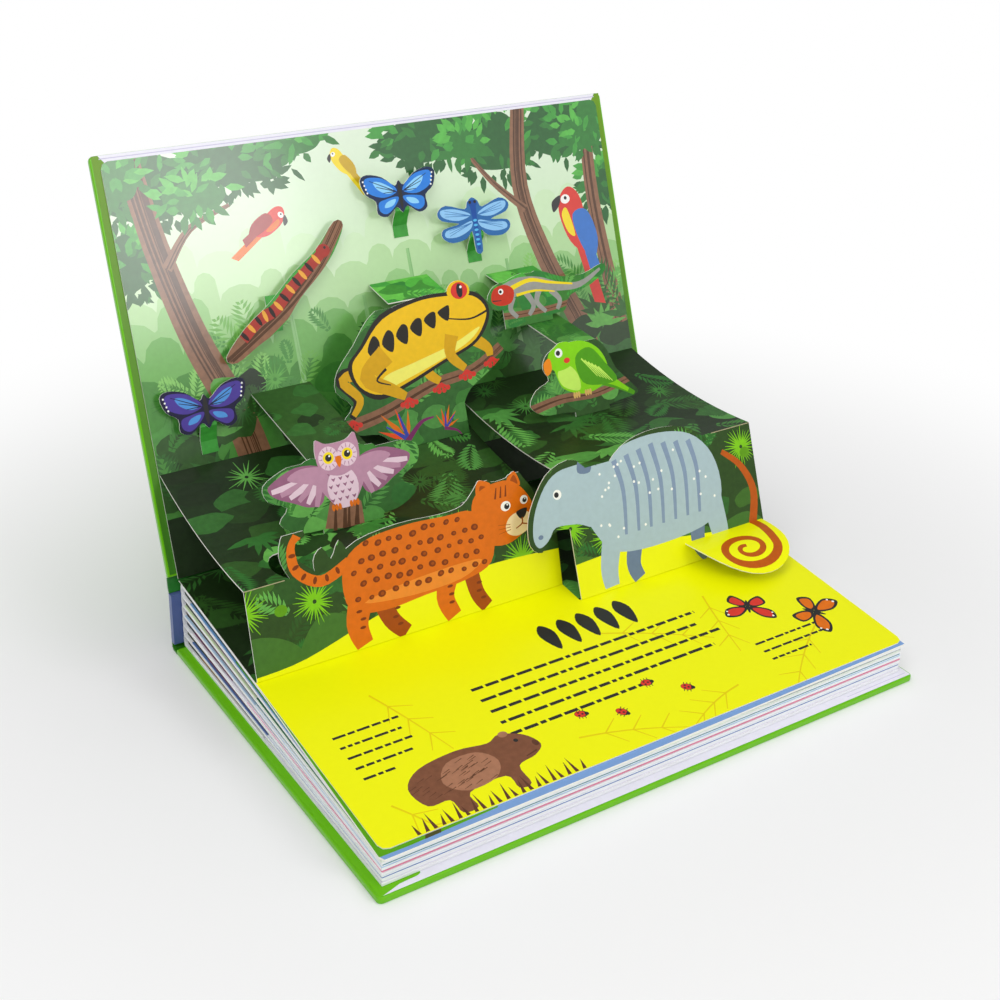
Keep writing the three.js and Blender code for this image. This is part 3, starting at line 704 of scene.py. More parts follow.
def front_leaf_art():
    rng = random.Random(5)
    step, left_foot, right_foot = LEFT["span"][1] + 0.2, LEFT["base"] - 0.7, RIGHT["base"] - 0.7
    art = [(DARKS[1], box_outline(-BLEED, -2, BLEED, 90))]
    art += jungle(random.Random(6), -BLEED, BLEED, 0, 84, 60, 50, 0.2)
    art.append((PAGE_YELLOW, [(-BLEED, left_foot), (step, left_foot), (step, right_foot),
                              (BLEED, right_foot), (BLEED, 166), (-BLEED, 166)]))
    doodle = ink("#e3cf00", 0.03)
    for x, y, length, angle in ((-84, 96, 34, 1.2), (10, 104, 44, 0.4), (92, 140, 40, 2.6),
                                (-30, 150, 40, 0.2), (64, 104, 30, 1.9), (-104, 148, 30, 1.0),
                                (40, 154, 30, 3.0)):
        rib = [(x + t * length * math.cos(angle) / 4, y + t * length * math.sin(angle) / 4 + t * t * 0.4)
               for t in range(5)]
        art.append((doodle, stroke(rib, 0.8, 0.4)))
        for side in (-1, 1):
            for t in range(1, 4):
                a = angle + side * 0.8
                px, py = rib[t]
                art.append((doodle, stroke([(px, py), (px + 9 * math.cos(a), py + 9 * math.sin(a))], 0.6,
                                           0.3)))
    for k in range(5):
        x = -10 + k * 9
        art.append((INK_BLACK, smooth([(x, 96), (x + 3.4, 90), (x + 7, 96), (x + 3.6, 106)])))
    art += text_bars(-50, 110, (104, 100, 106, 98, 60), 6.6, 1.5, rng)
    art += text_bars(-106, 110, (26, 24, 25, 22, 12), 5.6, 1.15, rng)
    art += text_bars(62, 138, (32, 34, 20), 5.0, 1.1, rng)
    brown = ink("#7c4f38", 0.3)
    tan = ink("#a67458", 0.25)
    deep = ink("#5e3a28", 0.3)
    animal = [(brown, CAPYBARA), (tan, smooth([(-14, 3), (-8, 11), (4, 11), (9, 4), (4, -3), (-8, -4)])),
              (tan, oval(17.5, 14.4, 1.9, 1.5)), (INK_BLACK, oval(20, 9.6, 0.9)),
              (deep, oval(25.6, 5.4, 1.2, 1.6)), (deep, stroke([(24, 2), (19, 1)], 0.8, 0.4))]
    for _ in range(46):
        x, v = rng.uniform(-24, 8), rng.uniform(-2, 11)
        animal.append((deep, stroke([(x, v), (x - 3.4, v - 1)], 0.35, 0.15, 1)))
    art += [(color, [(-70 + px * 0.98, 150 - py * 0.98) for px, py in points]) for color, points in animal]
    for k in range(22):
        x = -103 + 3.1 * k
        art.append((deep, [(x, 163.6), (x + 1.5, 163.6), (x + 0.4 + 1.6 * (k % 2), 158.6 - 1.5 * (k % 3))]))
    for x, y, spin in ((-22, 140, 0.3), (-8, 146, 0.9), (10, 137, 0.1), (22, 146, 0.6)):
        art += ladybird(x, y, 0.75, spin)
    art += butterfly(76, 118, 0.72, 0.5, RED, INK_BLACK)
    art += butterfly(98, 133, 0.8, -0.7, ORANGE, INK_BLACK)
    return art


front_print = printed_part([LEAF_OUTLINE], front_leaf_art(), on_page(0), face_down=True)
front_leaf = printed_sheet("front_leaf_print", [front_print], LEAF)
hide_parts("front_leaf")
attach(front_leaf, "book_block")


# Stages

def point2(place, v):
    """A place on a sheet as a point in Y and Z."""
    p = place(0, v)
    return Vector((p.y, p.z))


def bowed(start, control, end, steps):
    """A line of points that leaves start and meets end on one soft curve."""
    line = []
    for i in range(steps + 1):
        t = i / steps
        line.append(start * (1 - t) ** 2 + control * 2 * t * (1 - t) + end * t * t)
    return line


def stage_points(stage):
    """Top attachment, bowed platform, fold and foot as points in Y and Z."""
    top = point2(on_back_leaf(SEAT), stage["attach"])
    foot = point2(on_page(SEAT), stage["base"])
    lean = math.radians(stage["lean"])
    fold = foot + Vector((math.sin(lean), math.cos(lean))) * stage["wall"]
    down = Vector((fold.y - top.y, top.x - fold.x)).normalized()
    down = -down if down.y > 0 else down
    control = (top + fold) / 2 + down * 2 * stage["sag"]
    return bowed(top, control, fold, 12), foot


def blend_stage(piece):
    """Bakes the sheet's world transform into its mesh."""
    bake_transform(piece)


CAT_BACK = [(-78, -6), (-79, 1), (-70, 7), (-52, 9), (-34, 8), (-24, 9), (-18, 14), (-14, 18), (-10, 15),
            (-3, 15), (1, 18), (5, 13), (9, 6), (10, -6), (-20, -12), (-60, -12)]
CAT_TAIL = [(-92, -8), (-98, 0), (-101, 9), (-98, 17), (-92, 18), (-90, 14), (-94, 12), (-94, 6), (-88, 0),
            (-84, -8)]
LEFT_FERN = [(-86, -4), (-88, 4), (-84, 8), (-81, 3), (-77, 9), (-74, 3), (-74, -4)]
TAPIR_BACK = [(38, -8), (42, 0), (52, 6), (66, 8), (80, 6), (90, 0), (94, -8), (66, -14)]
TAPIR_HEAD = [(26, 4), (14, 3), (6, -4), (0, -14), (-1, -24), (4, -28), (10, -22), (18, -22), (28, -26),
              (34, -10)]


def big_cat():
    """Spotted cat walking to the right, drawn over the wall."""
    rng = random.Random(3)
    coat, shade_coat = ink("#d96c0c", 0.14), ink("#a04a08", 0.2)
    cream = ink("#f7dfae", 0.06)
    body = smooth([(-76, 16), (-77, 32), (-68, 40), (-50, 42), (-32, 41), (-20, 40), (-12, 30), (-14, 18),
                   (-26, 14), (-44, 13), (-62, 12)])
    tail = stroke([(-74, 34), (-86, 30), (-95, 36), (-96, 44), (-93, 49)], 4.6, 3.4)
    head = smooth([(-20, 34), (-19, 44), (-12, 48), (-2, 48), (5, 42), (8, 34), (4, 27), (-6, 23),
                   (-16, 26)])
    art = [(shade_coat, stroke([(-64, 20), (-60, 8), (-54, 1)], 8, 6)),
           (shade_coat, stroke([(-24, 20), (-22, 8), (-18, 1)], 7, 5.6)), (coat, tail), (coat, body),
           (coat, stroke([(-70, 22), (-74, 10), (-72, 1.2)], 11, 7)),
           (coat, stroke([(-32, 20), (-36, 10), (-33, 1.2)], 9, 6.6)),
           (coat, smooth([(-17, 44), (-16, 51), (-10, 48)])), (coat, smooth([(-3, 48), (1, 51), (3, 45)])),
           (shade_coat, smooth([(-15.4, 45), (-15, 48.8), (-11.8, 47)])),
           (shade_coat, smooth([(-1.2, 47.6), (0.8, 49.6), (2, 45.8)])), (coat, head),
           (cream, smooth([(-5.6, 30), (-3, 33.6), (2.6, 34.6), (7, 32), (6.2, 27.6), (0, 25.2),
                           (-4.6, 26.8)])),
           (INK_BLACK, smooth([(0, 34.8), (4.8, 35.4), (4, 32.6), (2.2, 31.4), (0.8, 32.4)])),
           (shade_coat, stroke([(2.3, 32), (2, 29.6), (-1, 28.2)], 0.7, 0.4)),
           (shade_coat, stroke([(2, 29.6), (4.6, 28.8)], 0.6, 0.4)), (WHITE, oval(-4.6, 38.2, 2.3, 2.0)),
           (INK_BLACK, oval(-4.1, 38.0, 1.2)), (WHITE, oval(-3.8, 38.6, 0.35)),
           (WHITE, oval(4, 38.8, 1.8, 1.8)), (INK_BLACK, oval(4.3, 38.6, 1.0)),
           (WHITE, oval(4.5, 39.1, 0.3))]
    spot, pale_coat = ink("#7a360a", 0.15), ink("#e98a2c", 0.12)
    art.append((pale_coat, smooth([(-70, 17), (-50, 14.4), (-28, 15), (-18, 20), (-30, 21), (-52, 20)])))
    for row in range(5):
        for k in range(12 - row % 2):
            x = -72 + 5 * k + 2.5 * (row % 2) + rng.uniform(-0.8, 0.8)
            v = 19 + 4.9 * row + rng.uniform(-0.7, 0.7)
            if row == 4 and (k < 1 or k > 9):
                continue
            size = rng.uniform(1.1, 1.7)
            art.append((spot, oval(x, v, size, size * 0.8, rng.uniform(-0.4, 0.4), 10)))
            art.append((shade_coat, oval(x + 0.2, v, size * 0.45, size * 0.4, 0, 8)))
    for x, v, turn in ((-79, 32.2, 0.3), (-83.6, 30.6, 0.1), (-88.4, 30.9, -0.3), (-92.6, 33.4, -0.8),
                       (-95.2, 37.6, -1.2), (-96, 42.2, -1.6)):
        art.append((spot, oval(x, v, 0.8, 1.5, turn, 8)))
    for x, v in ((-72, 8), (-34, 7), (-57, 5), (-20, 5)):
        for k in range(3):
            art.append((spot, oval(x + rng.uniform(-1, 1), v + 3.2 * k, 1.3, 0.6, 0, 8)))
    for k in range(3):
        art.append((spot, stroke([(-9 + 2.4 * k, 42), (-8 + 2.2 * k, 46.4)], 0.9, 0.4)))
        art.append((shade_coat, stroke([(-3.4, 30.4 - k), (-9, 31.4 - 1.8 * k)], 0.3, 0.14)))
    return art


def tapir():
    """Blue-grey tapir facing left, drawn over the wall."""
    rng = random.Random(8)
    coat, band, dark = ink("#a9bfc6", 0.08), ink("#8296b0", 0.1), ink("#6c7f99", 0.1)
    body = smooth([(30, 24), (26, 38), (34, 50), (50, 56), (68, 57), (84, 53), (94, 42), (96, 26), (88, 15),
                   (64, 12), (40, 14)])
    head = smooth([(36, 50), (22, 53), (12, 50), (4, 40), (1, 30), (3, 25), (8, 27), (12, 31), (22, 30),
                   (32, 28)])
    art = [(dark, stroke([(50, 20), (46, 8), (48, 1)], 8, 6)),
           (dark, stroke([(82, 20), (80, 8), (84, 1)], 8, 6)), (coat, body),
           (coat, stroke([(38, 22), (34, 9), (34, 1.2)], 10, 7)),
           (coat, stroke([(90, 24), (92, 10), (92, 1.2)], 11, 7)), (coat, head),
           (dark, smooth([(26, 50), (28, 56), (33, 55), (32, 49)])), (WHITE, oval(15, 43.6, 2.0)),
           (INK_BLACK, oval(14.6, 43.6, 1.1)), (dark, oval(4.4, 29, 1.2, 0.9))]
    for k in range(7):
        x = 44 + k * 6.4
        top = 53.5 - abs(k - 3) * 0.9
        art.append((band, stroke([(x, top), (x + 2.4, 38), (x + 0.6, 20)], 2.6, 1.4)))
    for _ in range(30):
        art.append((WHITE, oval(rng.uniform(32, 92), rng.uniform(18, 50), 0.6, None, 0, 7)))
    return art


def wall_art(stage, rng, figure, foot_yellow):
    low_x, high_x = stage["span"]
    wall = stage["wall"]
    art = undergrowth(rng, low_x - 20, high_x, 0, wall + 14, 22, 20, DARKS[2:4] + [ink("#3f6a24", 0.25)],
                      ink("#2e4a1c", 0.3))
    for k in range(5):
        x = low_x + (high_x - low_x) * (0.06 + 0.2 * k) + rng.uniform(-6, 6)
        art.append((ink("#43702a", 0.2), smooth([(x - 17, -3), (x - 15, 8), (x - 6, 15 + rng.uniform(-3, 4)),
                                                 (x + 6, 14), (x + 15, 7), (x + 17, -3)])))
        art += burst(x + rng.uniform(-8, 8), rng.uniform(14, wall - 2), rng.uniform(8, 11),
                     ink("#7cc414", 0.15), rng, 30)
        art.append((ink("#5f9a10", 0.2), oval(x + 9, rng.uniform(16, wall - 6), 2.6, 2.2)))
    yellow_edge = stroke(foot_yellow, 0.02)
    art.append((PAGE_YELLOW, [(low_x - 2, -2), (high_x + 2, -2), *yellow_edge[len(yellow_edge) // 2:]]))
    return art + figure


def stage_piece(name, stage, silhouettes, notches, art, platform_art, extra=()):
    curve, foot = stage_points(stage)
    low_x, high_x = stage["span"]
    wall_line = along_line([foot, curve[-1], curve[-1] + (curve[-1] - foot)])
    platform_line = along_line(curve)
    depth = platform_line.lengths[-1]
    wall = [box_outline(low_x, 0, high_x, stage["wall"]), *silhouettes]
    cut = [[(x, depth - v) for x, v in ring] for ring in notches]
    platform = box_outline(low_x, 0, high_x, depth)
    parts = [printed_part(wall, art, wall_line, lines=(stage["wall"],)),
             printed_part([platform], platform_art, platform_line, cut, lines=platform_line.lengths[1:-1],
                          face_down=True)]
    parts.extend(extra)
    piece = printed_sheet(name, parts)
    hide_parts(name.replace("_print", ""))
    blend_stage(piece)
    return piece


def fold_crack_and_highlight(start, end, height):
    """A pale line along a fold: the ink cracked white in the crease, and a painted highlight on the fold."""
    return FOLD_CRACK_AND_HIGHLIGHT, box_outline(start, height - 0.35, end, height)


def raised(points, height):
    return [(x, y + height) for x, y in smooth(points, 3)]


rng = random.Random(21)
left_art = wall_art(LEFT, rng, big_cat(), [(-119, 1.5), (-96, 3), (-60, 12), (-20, 17), (21, 15)])
# Painted highlight and white crack along the top fold of the left wall
left_art.append(fold_crack_and_highlight(LEFT["span"][0], -100, LEFT["wall"]))
left_platform_art = [(DARKS[1], box_outline(-120, -2, 22, 84)), *jungle(rng, -120, 22, 0, 84, 46, 44)]
stage_piece("left_stage_print", LEFT, [raised(s, LEFT["wall"]) for s in (CAT_BACK, CAT_TAIL, LEFT_FERN)],
            [smooth([(x, max(y, -0.6)) for x, y in s], 3) for s in (CAT_BACK, CAT_TAIL)], left_art,
            left_platform_art)


def tongue_part():
    curve, foot = stage_points(RIGHT)
    left, right = TONGUE["left"], TONGUE["right"]
    root = foot + (curve[-1] - foot) * TONGUE["rise"] / RIGHT["wall"]
    tip = point2(on_page(TONGUE["tip"]), RIGHT["base"] + TONGUE["reach"])
    control = root + (tip - root) * 0.55 + Vector((0, 5))
    place = along_line(bowed(root, control, tip, 10))
    depth = place.lengths[-1]
    outline = [(left, -0.2), (right, -0.2), (right, depth * 0.4), *round_edge(right, depth, left)]
    turns = 2 * math.pi * 1.9
    curl = []
    for k in range(31):
        a = turns * (1 - k / 32)
        r = 1 + 10.6 * a / turns
        curl.append((right - 21 + 1.28 * r * math.cos(a - turns),
                     depth * 0.52 - 0.92 * r * math.sin(a - turns)))
    lead = [(right - 5, -1), (right - 4.6, depth * 0.2)]
    art = [(PAGE_YELLOW, box_outline(left - 3, -2, right + 3, depth + 2)),
           (FROND_ORANGE, stroke([*lead, *curl], 4.2, 1.8, 2))]
    return printed_part([outline], art, place, lines=place.lengths[1:-1], face_down=True)


def round_edge(right, depth, left):
    """The free round edge of the tongue."""
    span = right - left
    quarter = [i / 8 * math.pi / 2 for i in range(1, 9)]
    near = [(right - span * 0.45 * (1 - math.cos(a)), depth * (0.4 + 0.6 * math.sin(a))) for a in quarter]
    far = [(right - span * 0.45 - span * 0.55 * math.sin(a), depth * (0.08 + 0.92 * math.cos(a)))
           for a in quarter]
    return near + far


rng = random.Random(34)
right_art = wall_art(RIGHT, rng, tapir(), [(15, 14), (50, 15), (80, 11), (121, 6)])
# Painted highlight and white crack along the top fold of the right wall
right_art.append(fold_crack_and_highlight(95, RIGHT["span"][1], RIGHT["wall"]))
right_art.append((FROND_ORANGE, stroke([(TONGUE["right"] - 5, 8), (113, 22), (108, 34), (99, 42)], 4.4,
                                       2.2)))
right_platform_art = [(DARKS[1], box_outline(14, -2, 120, 90)), *jungle(rng, 14, 120, 0, 90, 40, 36)]
stage_piece("right_stage_print", RIGHT, [raised(s, RIGHT["wall"]) for s in (TAPIR_BACK, TAPIR_HEAD)],
            [smooth([(x, max(y, -0.6)) for x, y in TAPIR_BACK], 3)], right_art, right_platform_art,
            [tongue_part()])


# Second tier: folded strips that end in a die-cut figure

def back_frame(p):
    """Height along the back leaf and distance from it of a point in Y and Z."""
    origin = point2(on_back_leaf(0), 0)
    up = point2(on_back_leaf(0), 1) - origin
    away = point2(on_back_leaf(1), 0) - origin
    return (p - origin).dot(up), (p - origin).dot(away)


def tier_line(tier, carrier):
    """Start on the back leaf, fold and foot of a strip that runs parallel to its carrier."""
    slope = carrier[-1] - carrier[0]
    fold = point2(on_back_leaf(tier["offset"]), tier["fold"])
    top = fold - slope * (tier["offset"] / (back_frame(carrier[-1])[1] - back_frame(carrier[0])[1]))
    start = point2(on_back_leaf(SEAT), back_frame(top)[0])
    lift = Vector((slope.y, -slope.x)).normalized() * SEAT
    lift = -lift if lift.y < 0 else lift
    for near, far in zip(carrier, carrier[1:]):
        low, high = back_frame(near)[1], back_frame(far)[1]
        if low <= tier["offset"] <= high:
            foot = near + (far - near) * (tier["offset"] - low) / (high - low) + lift
    return start, fold, foot


def tier_piece(name, tier, carrier, outline, art, strip_art):
    start, fold, foot = tier_line(tier, carrier)
    low_x, high_x = tier["span"]
    height = (fold - foot).length
    strip = along_line([start, fold])
    panel = along_line([foot, fold, fold + (fold - foot)])
    shape = smooth(outline(height), 3)
    wall = box_outline(low_x, 0, high_x, height)
    depth = strip.lengths[-1]
    top = box_outline(low_x, 0, high_x, depth)
    piece = printed_sheet(name + "_print", [
        printed_part([wall, shape], art(height), panel, lines=(height,)),
        printed_part([top], strip_art, strip, face_down=True)])
    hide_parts(name)
    blend_stage(piece)
    return [start, fold]


def foliage_base(rng, low_x, high_x, high_v, palette, count=16, base=DARKS[3]):
    return undergrowth(rng, low_x, high_x, 0, high_v, count, count // 2, palette, base)


def toes(color, feet, pitch, y, rx, ry):
    return [(color, oval(x + k * pitch, y, rx, ry)) for x in feet for k in (-1, 0, 1)]


def owl_outline(h):
    return [(-74, 1.6), (-84, 3), (-90, 8), (-86, 13), (-93, 17), (-94, h - 3), (-86, h + 1), (-78, h + 3),
            (-72, h + 4), (-70, h + 10), (-66, h + 8), (-58, h + 8), (-54, h + 10), (-52, h + 4),
            (-45, h + 3), (-36, h + 2), (-28, h - 1), (-29, 18), (-37, 13), (-31, 8), (-38, 3), (-48, 1.6)]


def owl_art(h):
    rng = random.Random(41)
    coat, deep, pale = ink("#b98aa0", 0.12), ink("#95607c", 0.15), ink("#e3c7d2", 0.08)
    art = foliage_base(rng, -96, -24, 26, MIDS)
    art += trunk([(-64, 0), (-63, 5), (-62, 10)], 17, 13, BARK, BARK_DARK, rng, 6)
    for side in (-1, 1):
        x = -62
        wing = [(x + side * px, v) for px, v in ((7, h - 2), (18, h + 1), (29, h - 3), (30, h - 6),
                                                 (27, h - 9), (21, h - 12), (15, h - 15), (9, h - 14))]
        art.append((deep, smooth(wing)))
        for k in range(6):
            tip = (x + side * (29 - 3.4 * k), h - 6 - 1.9 * k)
            art.append((coat if k % 2 else pale, stroke([(x + side * 8, h - 4), tip], 3.6, 1.8)))
        art.append((coat, smooth([(x + side * 6, h - 2), (x + side * 16, h), (x + side * 22, h - 3),
                                  (x + side * 12, h - 7), (x + side * 7, h - 9)])))
    art.append((coat, smooth([(-71, 16), (-72, h - 6), (-69, h + 1), (-62, h + 3), (-55, h + 1),
                              (-52, h - 6), (-53, 16), (-58, 9), (-62, 8), (-66, 9)])))
    art.append((pale, oval(-62, 15.5, 6.6, 8)))
    for row in range(5):
        for k in range(4 - row % 2):
            art.append((deep, smooth([(-67 + 3 * k + 1.5 * (row % 2), 11 + 2.6 * row + dv) if dx == 0
                                      else (-67 + 3 * k + 1.5 * (row % 2) + dx, 12 + 2.6 * row)
                                      for dx, dv in ((-0.9, 0), (0, -0.5), (0.9, 0), (0, 0.6))], 2)))
    art.append((coat, smooth([(-71, h), (-70.5, h + 9), (-66, h + 7), (-58, h + 7), (-53.5, h + 9),
                              (-53, h), (-56, h - 4), (-62, h - 6), (-68, h - 4)])))
    for x in (-66, -58):
        art.append((pale, oval(x, h + 1.4, 4.2, 4.6)))
        for k in range(12):
            a = k * math.pi / 6
            art.append((coat, stroke([(x + 2.6 * math.cos(a), h + 1.4 + 2.8 * math.sin(a)),
                                      (x + 4 * math.cos(a), h + 1.4 + 4.4 * math.sin(a))], 0.5, 0.2)))
        art.append((YELLOW, oval(x, h + 1.6, 2.3)))
        art.append((INK_BLACK, oval(x, h + 1.6, 1.35)))
        art.append((WHITE, oval(x + 0.5, h + 2.2, 0.4)))
    art.append((ORANGE, smooth([(-63.4, h + 0.6), (-62, h + 1.6), (-60.6, h + 0.6), (-62, h - 3)])))
    return art + toes(ORANGE, (-66, -58.4), 1.4, 8.6, 0.7, 1.3)


def frog_outline(h):
    return [(-8, 1.6), (-20, 3), (-27, 8), (-37, 10), (-42, 16), (-37, 22), (-43, 29), (-41, 37),
            (-32, h - 14), (-24, h - 5), (-15, h), (-4, h + 2), (8, h + 1.5), (14, h + 2), (20, h + 4.5),
            (26, h + 1), (32, h - 5), (36, h - 11), (33, h - 20), (37, h - 27), (38, 30), (30, 24),
            (19, 18), (14, 11), (12, 5), (8, 1.6)]


def flower(x, y, grow, spin):
    """Orange petals with blue tongues, fanned from one point."""
    petals = [(k * 0.42 - 1.0, 17 - abs(k - 2) * 2.2, ORANGE if k % 2 == 0 else ink("#e8501c", 0.15))
              for k in range(5)]
    parts = []
    for angle, reach, color in petals:
        parts.append((color,
                      [(0, 0), (reach * 0.45 * math.sin(angle - 0.16),
                                reach * 0.45 * math.cos(angle - 0.16)),
                       (reach * math.sin(angle), reach * math.cos(angle)),
                       (reach * 0.45 * math.sin(angle + 0.16), reach * 0.45 * math.cos(angle + 0.16))]))
    for angle in (-0.35, 0.3):
        parts.append((ink("#3a46a8", 0.15), stroke([(0, 0), (12 * math.sin(angle), 12 * math.cos(angle))],
                                                   2.2, 0.5)))
    parts.append((ink("#7a2a60", 0.15), stroke([(-1, 0), (9, 1.5), (15, -1)], 2.6, 0.6)))
    return placed(parts, x, y, grow, 1, spin)


def frog_art(h):
    rng = random.Random(52)
    coat, belly, dark = ink("#f0c010", 0.1), ink("#f7ef6a", 0.06), ink("#26221c", 0.1)
    limb, toe = ink("#d8a408", 0.12), ink("#d8372c", 0.1)
    art = foliage_base(rng, -44, 40, h - 4, MIDS, 30)
    art += trunk([(-46, 13), (-24, 16), (0, 23), (22, 26), (42, 36)], 6, 4, BARK, BARK_DARK, rng, 4)
    art += flower(-14, 3, 1.0, 0.55)
    art += flower(4, 4, 0.6, -0.5)
    art += [(dark, stroke([(-26, 34), (-40, 34), (-34, 24), (-38, 17)], 7, 3)),
            (limb, stroke([(-26, 35), (-39, 33), (-33, 24), (-37, 18)], 5.4, 2.4)),
            (limb, stroke([(22, 40), (30, 34), (31, 30)], 6, 3)),
            (limb, stroke([(2, 36), (0, 29), (5, 24)], 6.4, 3.2)),
            (dark, smooth([(-33, 28), (-36, 38), (-29, h - 15), (-18, h - 4), (0, h), (14, h), (28, h - 2),
                           (34, h - 9), (32, h - 17), (24, 36), (8, 31), (-10, 25), (-24, 22)])),
            (coat, smooth([(-32, 29), (-34, 38), (-28, h - 16), (-17, h - 6), (0, h - 1.6), (14, h - 1.6),
                           (27, h - 3.6), (32.6, h - 10), (30, h - 17), (23, 37), (8, 32.4), (-10, 26.6),
                           (-23, 24)])),
            (belly, smooth([(-24, 25), (-10, 28), (8, 33), (22, 38), (28, h - 17), (14, h - 22), (-6, 34),
                            (-20, 31)]))]
    for k in range(6):
        x = -26 + 7 * k
        art.append((dark, smooth([(x, h - 18 + 2.0 * k), (x + 3.4, h - 12 + 1.2 * k),
                                  (x + 6, h - 15 + 1.8 * k), (x + 4.4, h - 22 + 2.0 * k)])))
    art += [(coat, oval(20.5, h - 0.6, 5.6, 4.6)), (RED, oval(21, h - 0.4, 4.1, 3.6)),
            (INK_BLACK, oval(21.2, h - 0.4, 1.5, 3)), (WHITE, oval(22, h + 1, 0.6)),
            (dark, stroke([(33, h - 11), (24, h - 13), (13, h - 11)], 1.0, 0.5)),
            (dark, oval(32, h - 7, 0.6)), (limb, stroke([(-18, 40), (-28, 32), (-18, 25), (-12, 21)], 9,
                                                        3.4)),
            (dark, stroke([(-19, 34), (-24, 30), (-18, 27)], 1.2, 0.4)),
            (limb, stroke([(14, 42), (12, 34), (18, 27)], 6.6, 3.2))]
    for x, y in ((-38, 16), (-11, 20), (5, 23), (18.4, 26), (31.5, 29)):
        for k in range(4):
            a = math.pi + (k - 1.5) * 0.55 + math.pi / 2
            tip = (x + 4.4 * math.cos(a), y + 3.2 * math.sin(a))
            art.append((toe, stroke([(x, y), tip], 1.2, 1.0)))
            art.append((toe, oval(*tip, 1.1)))
    return art


def parakeet_outline(h):
    return [(60, 1.6), (50, 3), (40, 4), (34, 9), (38, 15), (45, 18), (43, h - 6), (45, h - 1), (50, h + 2),
            (56, h + 5), (64, h + 5), (72, h + 2), (77, h - 4), (80, 17), (86, 10), (90, 4), (80, 2.6),
            (70, 1.6)]


def parakeet_art(h):
    rng = random.Random(63)
    lime, deep, pale = ink("#84d400", 0.08), ink("#4f9d06", 0.12), ink("#c6f060", 0.06)
    art = foliage_base(rng, 32, 92, h, DARKS[2:4] + MIDS, 18, DARKS[2])
    art += trunk([(34, 7), (50, 9), (68, 8), (86, 11)], 4.4, 3, BARK, BARK_DARK, rng, 3)
    art += [(deep, stroke([(70, 14), (80, 9), (88, 4)], 5, 1.6)),
            (lime, stroke([(68, 16), (78, 11), (85, 6)], 4.6, 1.4)),
            (lime, smooth([(52, 13), (49, 20), (48, h - 3), (52, h + 1), (58, h + 3), (66, h + 2),
                           (73, h - 3), (76, 18), (72, 11), (62, 9)])),
            (deep, smooth([(60, 25), (68, h - 1), (75, 20), (80, 12), (72, 11), (62, 14)])),
            (pale, smooth([(52, 14), (50, 20), (55, 23), (60, 18), (60, 11)])),
            (lime, smooth([(46, h - 5), (47, h), (52, h + 3.4), (58, h + 3), (61, h - 2), (57, h - 7),
                           (50, h - 8)])),
            (ink("#f08a10", 0.1), smooth([(47, h - 2), (43.6, h - 4), (44.2, h - 9), (47.4, h - 7)])),
            (WHITE, oval(52, h - 0.6, 2.0)), (INK_BLACK, oval(51.7, h - 0.6, 1.1)),
            (ink("#e23c2a", 0.1), oval(55.6, h - 4.4, 1.6, 1.2))]
    for k in range(6):
        art.append((pale, stroke([(63 + 1.6 * k, 24 - k), (70 + 1.5 * k, 15 - 0.7 * k)], 0.7, 0.3)))
    return art + toes(ink("#d8b060", 0.1), (58, 64), 1.2, 9.2, 0.6, 1.4)


def lizard_outline(h):
    return [(54, 2.4), (50, 2.4), (45, 3), (46, 8), (40, 9), (37, 14), (41, h - 1), (48, h + 0.5),
            (56, h + 2.5), (66, h + 2), (76, h - 2), (88, h - 3), (99, h), (101, h - 3), (92, 12), (80, 9),
            (76, 3), (71, 2.4), (66, 2.4)]


def lizard_art(h):
    rng = random.Random(74)
    grey, head = ink("#9a9a92", 0.2), ink("#c8341c", 0.12)
    art = foliage_base(rng, 36, 102, h, MIDS[:2] + GREENS[:3], 16, MIDS[1])
    art += trunk([(38, 6), (56, 5), (78, 6), (96, 12)], 3.2, 2, BARK, BARK_DARK, rng, 2)
    art += [(grey, stroke([(50, 13), (48, 8), (51, 4)], 3, 1.8)),
            (grey, stroke([(70, 13), (74, 8), (72, 4)], 3, 1.8)),
            (grey, stroke([(57, 14), (60, 8), (57, 4)], 3, 1.8)),
            (grey, stroke([(64, 14), (62, 9), (66, 4)], 3, 1.8)),
            (grey, stroke([(46, 15), (54, 17.5), (64, 17), (74, 14), (86, 13), (98, 18)], 8.5, 1.2)),
            (YELLOW, stroke([(50, 17), (60, 19), (70, 16.4), (82, 13.8)], 2.2, 0.8)),
            (YELLOW, stroke([(52, 13.6), (62, 14), (72, 12)], 1.4, 0.5)),
            (head, smooth([(39, 13), (41, 18), (47, 19), (51, 16), (49, 11), (43, 10.4)])),
            (WHITE, oval(44.4, 16.4, 1.3)), (INK_BLACK, oval(44.2, 16.4, 0.7)),
            (INK_BLACK, stroke([(39.6, 13), (44, 12.6)], 0.5, 0.3))]
    return art


def strip_print(seed, depth, span, palette, base):
    return undergrowth(random.Random(seed), span[0] - 4, span[1] + 4, 0, depth, 14, 8, palette, base)


left_platform = stage_points(LEFT)[0]
right_platform = stage_points(RIGHT)[0]
tier_piece("owl_panel", OWL, left_platform, owl_outline, owl_art,
           strip_print(81, 56, OWL["span"], DARKS, DARKS[2]))
tier_piece("frog_panel", FROG, left_platform, frog_outline, frog_art,
           strip_print(82, 18, FROG["span"], GREENS, GREENS[3]))
parakeet_strip = tier_piece("parakeet_panel", PARAKEET, right_platform, parakeet_outline,
                            parakeet_art, strip_print(83, 40, PARAKEET["span"], MIDS, MIDS[1]))
tier_piece("lizard_panel", LIZARD, parakeet_strip, lizard_outline, lizard_art,
           strip_print(84, 12, LIZARD["span"], GREENS, GREENS[0]))


# Small cards on stalks, glued to the back leaf

